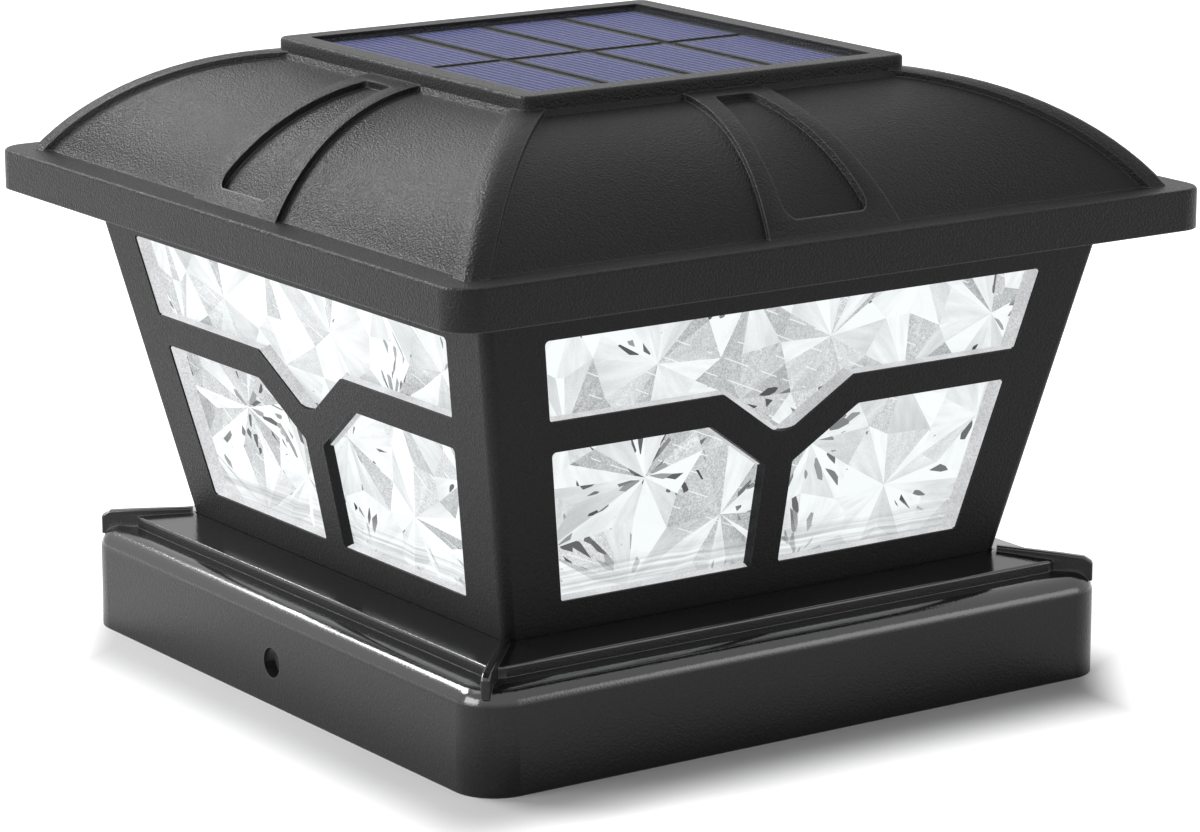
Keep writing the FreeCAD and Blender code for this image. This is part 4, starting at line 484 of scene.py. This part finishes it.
def painted_glow_crystal():
    """Clear plastic that glows with painted light, as if lit from inside. Each facet has its own painted tone, kept on
    its face, and painted shade along its length. The greyer facets are frosted, with painted dashes of light;
    painted dark slivers stand where two cuts meet."""
    material, tree = blank_material("crystal_painted_glow")
    place = node(tree, "TexCoord").outputs["Object"]
    cut = node(tree, "Attribute", attribute_name="cut").outputs["Fac"]
    facet = node(tree, "SeparateXYZ", {"Vector": node(tree, "Attribute", attribute_name="facet").outputs["Vector"]})
    face = node(tree, "SeparateXYZ", {"Vector": node(tree, "Attribute", attribute_name="face").outputs["Vector"]})

    def math_node(operation, a, b=0.0):
        """One sum of two values or sockets."""
        return node(tree, "Math", {0: a, 1: b}, operation=operation).outputs[0]

    def ranged(value, low, high, to_low, to_high):
        """A value carried from one range to another, kept inside it."""
        return node(tree, "MapRange", {"Value": value, "From Min": low, "From Max": high, "To Min": to_low,
                                       "To Max": to_high}).outputs["Result"]

    # The facet's own coordinates, stretched along it and moved apart from the other facets'.
    own = node(tree, "CombineXYZ", {0: math_node("MULTIPLY", facet.outputs["X"], 0.12),
                                    1: math_node("MULTIPLY", facet.outputs["Y"], 0.55),
                                    2: math_node("MULTIPLY", facet.outputs["Z"], 40.0)}).outputs[0]
    # Painted streaks and shade along each facet.
    brushed = node(tree, "TexNoise", {"Vector": own, "Scale": 1.0, "Detail": 3.0})
    streak = ranged(brushed.outputs["Fac"], 0.25, 0.75, -0.055, 0.045)
    shade = math_node("MULTIPLY", math_node("SUBTRACT", facet.outputs["Z"], 0.6),
                      math_node("MULTIPLY", facet.outputs["X"], 0.012))
    grain = node(tree, "TexNoise", {"Vector": place, "Scale": 2600.0, "Detail": 2.0})
    frost_size = ranged(cut, 0.84, 0.92, 0.46, 0.05)
    frost = math_node("MULTIPLY", math_node("SUBTRACT", grain.outputs["Fac"], 0.5), frost_size)
    plain = math_node("ADD", math_node("ADD", cut, math_node("ADD", streak, shade)), frost)

    # Painted dashes of light on the frosted facets, in rows that fall to the right. Lengths are in mm.
    fall, row_gap, dash_run = math.radians(23.0), 3.7, 8.0
    over = math_node("ADD", math_node("MULTIPLY", face.outputs["X"], math.sin(fall) / row_gap),
                     math_node("MULTIPLY", face.outputs["Y"], math.cos(fall) / row_gap))
    row_line = ranged(math_node("PINGPONG", over, 0.5), 0.0, 0.05, 1.0, 0.0)
    run = math_node("SUBTRACT", math_node("MULTIPLY", face.outputs["X"], math.cos(fall) / dash_run),
                    math_node("MULTIPLY", face.outputs["Y"], math.sin(fall) / dash_run))
    dash_place = node(tree, "CombineXYZ", {0: run, 1: math_node("FLOOR", math_node("ADD", over, 0.5)), 2: 0.5})
    dash_noise = node(tree, "TexNoise", {"Vector": dash_place.outputs[0], "Scale": 1.7, "Detail": 0.0})
    dash = math_node("MULTIPLY", row_line, math_node("GREATER_THAN", dash_noise.outputs["Fac"], 0.50))
    dash = math_node("MULTIPLY", dash, math_node("LESS_THAN", cut, 0.875))
    lined = node(tree, "MixRGB", {"Fac": dash, "Color1": plain, "Color2": (1.0, 1.0, 1.0, 1.0)})

    # Painted dark slivers: a few of the cells of a pattern stretched along the facet, where they crowd together.
    shard_place = node(tree, "CombineXYZ", {0: math_node("MULTIPLY", facet.outputs["X"], 0.26),
                                            1: math_node("MULTIPLY", facet.outputs["Y"], 0.85),
                                            2: math_node("MULTIPLY", facet.outputs["Z"], 90.0)})
    shard = node(tree, "TexVoronoi", {"Vector": shard_place.outputs[0], "Scale": 1.0})
    lucky = node(tree, "SeparateColor", {"Color": shard.outputs["Color"]})
    crowd = node(tree, "TexNoise", {"Vector": place, "Scale": 55.0, "Detail": 1.0})
    rare = ranged(crowd.outputs["Fac"], 0.48, 0.64, 1.0, 0.88)
    sliver = math_node("GREATER_THAN", lucky.outputs[0], rare)
    dark = ranged(lucky.outputs[1], 0.0, 1.0, 0.26, 0.66)
    split = node(tree, "MixRGB", {"Fac": sliver, "Color1": lined.outputs[0], "Color2": dark})

    # Painted level streaks of shade in the lowest few millimetres, over the sill.
    sheets = node(tree, "Mapping", {"Vector": place, "Scale": (30.0, 30.0, 1500.0)})
    level = node(tree, "TexNoise", {"Vector": sheets.outputs[0], "Scale": 1.0, "Detail": 3.0})
    foot_tone = ranged(level.outputs["Fac"], 0.32, 0.68, 0.70, 1.02)
    foot = ranged(face.outputs["Y"], 34.0, 38.5, 0.70, 0.0)
    footed = node(tree, "MixRGB", {"Fac": foot, "Color1": split.outputs[0], "Color2": foot_tone})
    shown = node(tree, "Math", {0: footed.outputs[0], 1: 2.2}, operation="POWER", use_clamp=True)
    colour = node(tree, "MixRGB", {"Fac": 1.0, "Color1": (0.945, 0.985, 0.995, 1.0), "Color2": shown.outputs[0]},
                  blend_type="MULTIPLY")
    body = node(tree, "MixRGB", {"Fac": 1.0, "Color1": (0.08, 0.08, 0.08, 1.0), "Color2": colour.outputs[0]},
                blend_type="MULTIPLY")
    # The panel's colour is given as emission, painted light, over a dim lit body.
    skin = node(tree, "BsdfPrincipled", {"Base Color": body.outputs[0], "Roughness": 0.12, "IOR": 1.49,
                                         "Specular IOR Level": 0.3,
                                         "Emission Color": colour.outputs[0], "Emission Strength": 0.93})
    show(tree, skin.outputs[0])
    return material


crystal = painted_glow_crystal()
# The panel's edges and flat back glow at this painted tone of light.
wall_tone = 0.9                 # tone of a panel's edges and flat back
for quarter, side in enumerate(sides):
    points, tri, first = cut_panel(np.random.default_rng(11))
    tone, corner_places = facet_marks(points, tri, np.random.default_rng(20 + quarter))
    last = len(points) - first
    walls = [(i, last + i, last + (i + 1) % first, (i + 1) % first) for i in range(first)]
    back = [tuple(range(len(points) - 1, last - 1, -1))]
    panel = mesh_piece("crystal_" + side, on_face(points, quarter), tri.tolist() + walls + back, crystal)
    tones = np.concatenate([tone, np.full(len(walls) + len(back), wall_tone)])
    panel.data.attributes.new("cut", "FLOAT", "FACE").data.foreach_set("value", tones.astype(np.float32))
    places = np.zeros((len(panel.data.loops), 3), np.float32)
    places[:3 * len(tri)] = corner_places.reshape(-1, 3)
    panel.data.attributes.new("facet", "FLOAT_VECTOR", "CORNER").data.foreach_set("vector", places.ravel())
    on_mould = (points * (1000.0, 1000.0, 0.0)).astype(np.float32)
    panel.data.attributes.new("face", "FLOAT_VECTOR", "POINT").data.foreach_set("vector", on_mould.ravel())
    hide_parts("diffuser_" + side)


# ------------------------------------------------------------------ window returns
# Inside each window a clear welt of the panel fills the corner between the panel and the frame, except beside the
# mullion, where the frame's own wall shows. It is sharp-edged and frosted by the mould, and glows with painted light.

def rounded_line(corners, radius):
    """Corner points with each inner corner replaced by five points on an arc of the radius."""
    line = [np.array(corners[0])]
    for before, at, after in zip(corners[:-2], corners[1:-1], corners[2:]):
        at = np.array(at)
        a, b = np.array(before) - at, np.array(after) - at
        a, b = a / np.linalg.norm(a), b / np.linalg.norm(b)
        half = math.acos(np.clip(a @ b, -1, 1)) / 2
        start, end = at + a * radius / math.tan(half), at + b * radius / math.tan(half)
        centre = at + (a + b) / np.linalg.norm(a + b) * radius / math.sin(half)
        for share in np.linspace(0.0, 1.0, 5):
            spoke = (start - centre) * (1 - share) + (end - centre) * share
            line.append(centre + spoke / np.linalg.norm(spoke) * radius)
    return np.array(line + [np.array(corners[-1])])


welt_deep = 0.0025              # depth of the welt's foot, just in front of the panel
welt_clear = 0.00004            # welt to the window's side wall


def corner_strip(line, widths, quarter, start=0.0004):
    """Three-sided strip along a line inside a window: on the window's side wall from the start's depth to the foot,
    and from there its given width inward over the panel. The inside of the window is to the left of the line."""
    ahead = np.diff(line, axis=0)
    ahead = ahead / np.linalg.norm(ahead, axis=1)[:, None]
    side = np.stack([-ahead[:, 1], ahead[:, 0]], axis=1)
    meet = np.concatenate([side[:1], side[:-1] + side[1:], side[-1:]])
    meet = meet / (meet * np.concatenate([side[:1], side])).sum(axis=1)[:, None]
    shallow = np.column_stack([line + meet * welt_clear, np.full(len(line), start)])
    deep = np.column_stack([line + meet * welt_clear, np.full(len(line), welt_deep)])
    inner = np.column_stack([line + meet * np.asarray(widths)[:, None], np.full(len(line), welt_deep)])
    count = len(line)
    points = on_face(np.concatenate([shallow, inner, deep]), quarter)
    faces = []
    for a, b in ((0, 1), (1, 2), (2, 0)):
        faces += [(a * count + i, a * count + i + 1, b * count + i + 1, b * count + i) for i in range(count - 1)]
    faces += [(0, count, 2 * count), (count - 1, 3 * count - 1, 2 * count - 1)]
    return points, faces


def join_parts(parts):
    """Several arrays of points and lists of faces as one."""
    start, faces = 0, []
    for points, own_faces in parts:
        faces += [tuple(i + start for i in face) for face in own_faces]
        start += len(points)
    return np.concatenate([points for points, _ in parts]), faces


def painted_glow_welt():
    """Clear plastic with a fine frost from the mould, which glows with painted light."""
    material, tree = blank_material("painted_glow_welt")
    place = node(tree, "TexCoord").outputs["Object"]
    grain = node(tree, "TexNoise", {"Vector": place, "Scale": 2400.0, "Detail": 2.0})
    drift = node(tree, "TexNoise", {"Vector": place, "Scale": 120.0, "Detail": 2.0})
    fine = node(tree, "MapRange", {"Value": grain.outputs["Fac"], "From Min": 0.3, "From Max": 0.7,
                                   "To Min": 0.56, "To Max": 0.78})
    slow = node(tree, "MapRange", {"Value": drift.outputs["Fac"], "From Min": 0.3, "From Max": 0.7,
                                   "To Min": 0.82, "To Max": 1.12})
    tone = node(tree, "Math", {0: fine.outputs["Result"], 1: slow.outputs["Result"]}, operation="MULTIPLY")
    colour = node(tree, "MixRGB", {"Fac": 1.0, "Color1": (0.97, 0.98, 1.0, 1.0), "Color2": tone.outputs[0]},
                  blend_type="MULTIPLY")
    body = node(tree, "MixRGB", {"Fac": 1.0, "Color1": (0.25, 0.25, 0.25, 1.0), "Color2": colour.outputs[0]},
                blend_type="MULTIPLY")
    # The welt's glow is painted light, given as emission.
    skin = node(tree, "BsdfPrincipled", {"Base Color": body.outputs[0], "Roughness": 0.35, "IOR": 1.49,
                                         "Emission Color": colour.outputs[0], "Emission Strength": 0.80})
    show(tree, skin.outputs[0])
    return material


rail_top, rail_low = 0.0677, 0.0615                 # the rail between the wide window and the small ones
rail_half, low_top_half = window_half(rail_top), window_half(rail_low)
turn_half, tip_z = 0.0154, 0.05697                  # where the wide window's sill turns down, and its point
mullion = 0.00325                                   # half-width of the upright between the small windows
low_inner, cut_z = 0.01745, 0.0516                  # ends of a small window's cut corner, across and up
wide, slope, slim = 0.0017, 0.0013, 0.0004          # welt's width at the jambs, on the sill's slopes and elsewhere
turn_round, cut_start = 0.0008, 0.0016              # rounding of the sill's turns; the cut corner's welt starts deeper
welt_plastic = painted_glow_welt()
for quarter, side in enumerate(sides):
    parts = []
    sill = rounded_line([(-rail_half, rail_top), (-turn_half, rail_top), (0.0, tip_z), (turn_half, rail_top),
                         (rail_half, rail_top)], turn_round)
    on_slope = np.abs(sill[:, 0]) < turn_half - 0.0002
    parts.append(corner_strip(sill, np.where(on_slope, slope, slim), quarter))
    straight = [((rail_half, rail_top), (window_top_half, window_top), wide),
                ((-window_top_half, window_top), (-rail_half, rail_top), wide),
                ((mullion, window_low), (window_low_half, window_low), slim),
                ((-window_low_half, window_low), (-mullion, window_low), slim),
                ((window_low_half, window_low), (low_top_half, rail_low), wide),
                ((-low_top_half, rail_low), (-window_low_half, window_low), wide)]
    for start_at, end_at, width in straight:
        parts.append(corner_strip(np.array([start_at, end_at]), [width, width], quarter))
    for start_at, end_at in (((low_inner, rail_low), (mullion, cut_z)), ((-mullion, cut_z), (-low_inner, rail_low))):
        parts.append(corner_strip(np.array([start_at, end_at]), [slim, slim], quarter, cut_start))
    welt = mesh_piece("welt_" + side, *join_parts(parts), welt_plastic)


# ------------------------------------------------------------------ roof
# Matte black moulding with a soft grain. Its four faces curve up to the square housing of the solar panel, with
# raised hips, a raised band with a sunk panel in the middle of each face, and a flat fascia all round.

# The roof's pale edge line is mostly painted highlight, with a little wear.
roof_plastic = moulded("roof_plastic", (0.014, 0.014, 0.0145), (0.150, 0.150, 0.150), 0.36, 0.16, 2400.0, 0.00018)
dress(roof_plastic, "roof_cap", "roof_soffit")
soften_edges("roof_cap", 0.00035)


# ------------------------------------------------------------------ solar panel
# Eight cells of blue silicon, printed with fine silver lines, lie on a dark grey-brown laminate. A clear cover over
# a soft gasket closes the square housing on top of the roof.

line_pitch = 0.00176            # from one silver line to the next
bare_across, bare_along = 0.0009, 0.0006            # border of a cell that the print leaves bare, in X and in Y
cover_gap = 0.00002             # taken off the cells, whose tops would else lie in the cover's underside


def silicon(low, high):
    """One cell between two corners: blue silicon with fine silver lines along Y and a slight crystal mottle. The
    border round it is dark."""
    middle_x, middle_y = (low[0] + high[0]) / 2, (low[1] + high[1]) / 2
    half_x, half_y = (high[0] - low[0]) / 2 - bare_across, (high[1] - low[1]) / 2 - bare_along
    material, tree = blank_material("silicon_blue")
    place = node(tree, "TexCoord").outputs["Object"]
    at = node(tree, "SeparateXYZ", {"Vector": place})
    count = node(tree, "Math", {0: at.outputs["X"], 1: middle_x}, operation="SUBTRACT")
    count = node(tree, "Math", {0: count.outputs[0], 1: 1.0 / line_pitch}, operation="MULTIPLY")
    saw = node(tree, "Math", {0: count.outputs[0], 1: 0.5}, operation="PINGPONG")
    line = node(tree, "MapRange", {"Value": saw.outputs[0], "From Min": 0.10, "From Max": 0.20, "To Min": 1.0,
                                   "To Max": 0.0})
    mottle = node(tree, "TexVoronoi", {"Vector": place, "Scale": 260.0})
    tint = node(tree, "SeparateColor", {"Color": mottle.outputs["Color"]})
    blue = node(tree, "MixRGB", {"Fac": tint.outputs[0], "Color1": (0.009, 0.012, 0.075, 1.0),
                                 "Color2": (0.015, 0.020, 0.115, 1.0)})
    colour = node(tree, "MixRGB", {"Fac": line.outputs["Result"], "Color1": blue.outputs[0],
                                   "Color2": (0.16, 0.18, 0.42, 1.0)})
    edge = []
    for axis, middle, half in (("X", middle_x, half_x), ("Y", middle_y, half_y)):
        off = node(tree, "Math", {0: at.outputs[axis], 1: middle}, operation="SUBTRACT")
        off = node(tree, "Math", {0: off.outputs[0]}, operation="ABSOLUTE")
        edge.append(node(tree, "Math", {0: off.outputs[0], 1: half}, operation="GREATER_THAN"))
    border = node(tree, "Math", {0: edge[0].outputs[0], 1: edge[1].outputs[0]}, operation="MAXIMUM")
    framed = node(tree, "MixRGB", {"Fac": border.outputs[0], "Color1": colour.outputs[0],
                                   "Color2": (0.044, 0.046, 0.040, 1.0)})
    skin = node(tree, "BsdfPrincipled", {"Base Color": framed.outputs[0], "Roughness": 0.35,
                                         "Specular IOR Level": 0.04})
    show(tree, skin.outputs[0])
    return material


for number in range(1, 9):
    cell = "solar_cell_%d" % number
    dress(silicon(*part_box(cell)), cell)
    shrink = nodes[cell].modifiers.new("clear_of_cover", "DISPLACE")
    shrink.mid_level = 0.0
    shrink.strength = -cover_gap


def glazing():
    """Clear cover, hardly seen: a faint dulled reflection of the room and a trace of dust."""
    material, tree = blank_material("panel_glazing")
    place = node(tree, "TexCoord").outputs["Object"]
    dust = node(tree, "TexNoise", {"Vector": place, "Scale": 900.0, "Detail": 2.0})
    veil = node(tree, "MapRange", {"Value": dust.outputs["Fac"], "From Min": 0.4, "From Max": 0.7, "To Min": 0.05,
                                   "To Max": 0.08})
    skin = node(tree, "BsdfPrincipled", {"Base Color": (0.10, 0.11, 0.16, 1.0), "Roughness": 0.45,
                                         "Specular IOR Level": 0.3, "Alpha": veil.outputs["Result"]})
    show(tree, skin.outputs[0])
    return material


dress(glazing(), "solar_cover")
dress(moulded("panel_laminate", (0.044, 0.046, 0.040), (0.050, 0.052, 0.046), 0.45, 0.05, 2400.0, 0.00003),
      "solar_backing")


# ------------------------------------------------------------------ inner pieces
# Rubber gaskets, zinc-plated screws, white reflectors, two leads, and the light engine: a white tub screwed to the
# deck, with its boards, lamps, battery and nickel contacts. They are hardly seen, and keep plain finishes.

def plain_finish(name, colour, roughness, metallic=0.0, scale=1800.0, spread=0.10, depth=0.00002):
    """A finish whose tone wanders a little over the piece, with a fine grain in its height."""
    material, tree = blank_material(name)
    place = node(tree, "TexCoord").outputs["Object"]
    grain = use_group(tree, moulded_grain, {"Vector": place, "Grain Scale": scale, "Drift Scale": 60.0})
    speck = node(tree, "MapRange", {"Value": grain.outputs["Speck"], "From Min": 0.7, "From Max": 1.35,
                                    "To Min": 1.0 - spread, "To Max": 1.0 + spread})
    body = node(tree, "MixRGB", {"Fac": 1.0, "Color1": (*colour, 1.0), "Color2": speck.outputs["Result"]},
                blend_type="MULTIPLY")
    rough = node(tree, "MapRange", {"Value": grain.outputs["Tone"], "From Min": 0.9, "From Max": 1.1,
                                    "To Min": roughness - 0.05, "To Max": roughness + 0.05})
    bump = node(tree, "Bump", {"Strength": 0.4, "Distance": depth, "Height": grain.outputs["Height"]})
    skin = node(tree, "BsdfPrincipled", {"Base Color": body.outputs[0], "Roughness": rough.outputs["Result"],
                                         "Metallic": metallic, "Normal": bump.outputs[0]})
    show(tree, skin.outputs[0])
    return material


def copper_tracks():
    """Green solder mask over copper: paler tracks where cells about 1.6 mm wide meet."""
    material, tree = blank_material("board_green")
    place = node(tree, "TexCoord").outputs["Object"]
    maze = node(tree, "TexVoronoi", {"Vector": place, "Scale": 620.0, "Randomness": 0.55}, distance="MANHATTAN",
                feature="F1")
    track = node(tree, "MapRange", {"Value": maze.outputs["Distance"], "From Min": 0.42, "From Max": 0.46})
    colour = node(tree, "MixRGB", {"Fac": track.outputs["Result"], "Color1": (0.022, 0.16, 0.070, 1.0),
                                   "Color2": (0.045, 0.27, 0.11, 1.0)})
    skin = node(tree, "BsdfPrincipled", {"Base Color": colour.outputs[0], "Roughness": 0.28})
    show(tree, skin.outputs[0])
    return material


rubber = plain_finish("seal_rubber", (0.030, 0.030, 0.030), 0.72)
steel = plain_finish("screw_steel", (0.60, 0.60, 0.61), 0.30, 1.0, 2600.0, 0.12)
matt_white = plain_finish("reflector_white", (0.86, 0.86, 0.85), 0.60, 0.0, 1500.0, 0.03)
nickel = plain_finish("contact_nickel", (0.70, 0.68, 0.64), 0.20, 1.0, 2600.0, 0.08)
package = plain_finish("chip_black", (0.035, 0.035, 0.036), 0.48)
dress(rubber, "base_gasket", "solar_gasket")
dress(steel, "base_screws", "frame_screws", "roof_screws", "reflector_screws", "housing_screws", "led_board_screws",
      "board_screws")
dress(matt_white, "floor_reflector", "roof_reflector")
dress(nickel, "board_pins", "contact_positive", "contact_negative")
dress(package, "driver_chip", "switch_body")
dress(plain_finish("engine_white", (0.80, 0.80, 0.78), 0.45, 0.0, 1800.0, 0.04), "engine_housing")
dress(plain_finish("board_white", (0.84, 0.85, 0.85), 0.30, 0.0, 1800.0, 0.03), "led_board")
dress(plain_finish("led_package", (0.92, 0.90, 0.74), 0.22, 0.0, 1800.0, 0.03), "led_1", "led_2", "led_3", "led_4")
dress(plain_finish("ferrite_grey", (0.16, 0.16, 0.17), 0.55, 0.0, 1500.0, 0.15), "boost_inductor")
dress(plain_finish("capacitor_can", (0.66, 0.66, 0.68), 0.28, 1.0, 2600.0, 0.08), "storage_capacitor")
dress(plain_finish("lead_red", (0.46, 0.025, 0.025), 0.40), "solar_lead_red")
dress(plain_finish("lead_black", (0.022, 0.022, 0.022), 0.40), "solar_lead_black")
dress(plain_finish("battery_wrap", (0.08, 0.24, 0.46), 0.25, 0.0, 1200.0, 0.05), "battery_cell")
dress(copper_tracks(), "control_board")


# ------------------------------------------------------------------ moving pieces
# The battery cover is moulded in black plastic like the base, and slides in rails under the deck. The button is soft
# black rubber, and moves up and down in its hole in the deck.

dress(moulded("cover_plastic", (0.018, 0.018, 0.0185), (0.055, 0.055, 0.055), 0.36, 0.35, 2400.0, 0.00004),
      "battery_cover")
dress(plain_finish("button_rubber", (0.034, 0.034, 0.035), 0.66, 0.0, 2200.0, 0.12, 0.00003), "power_button")
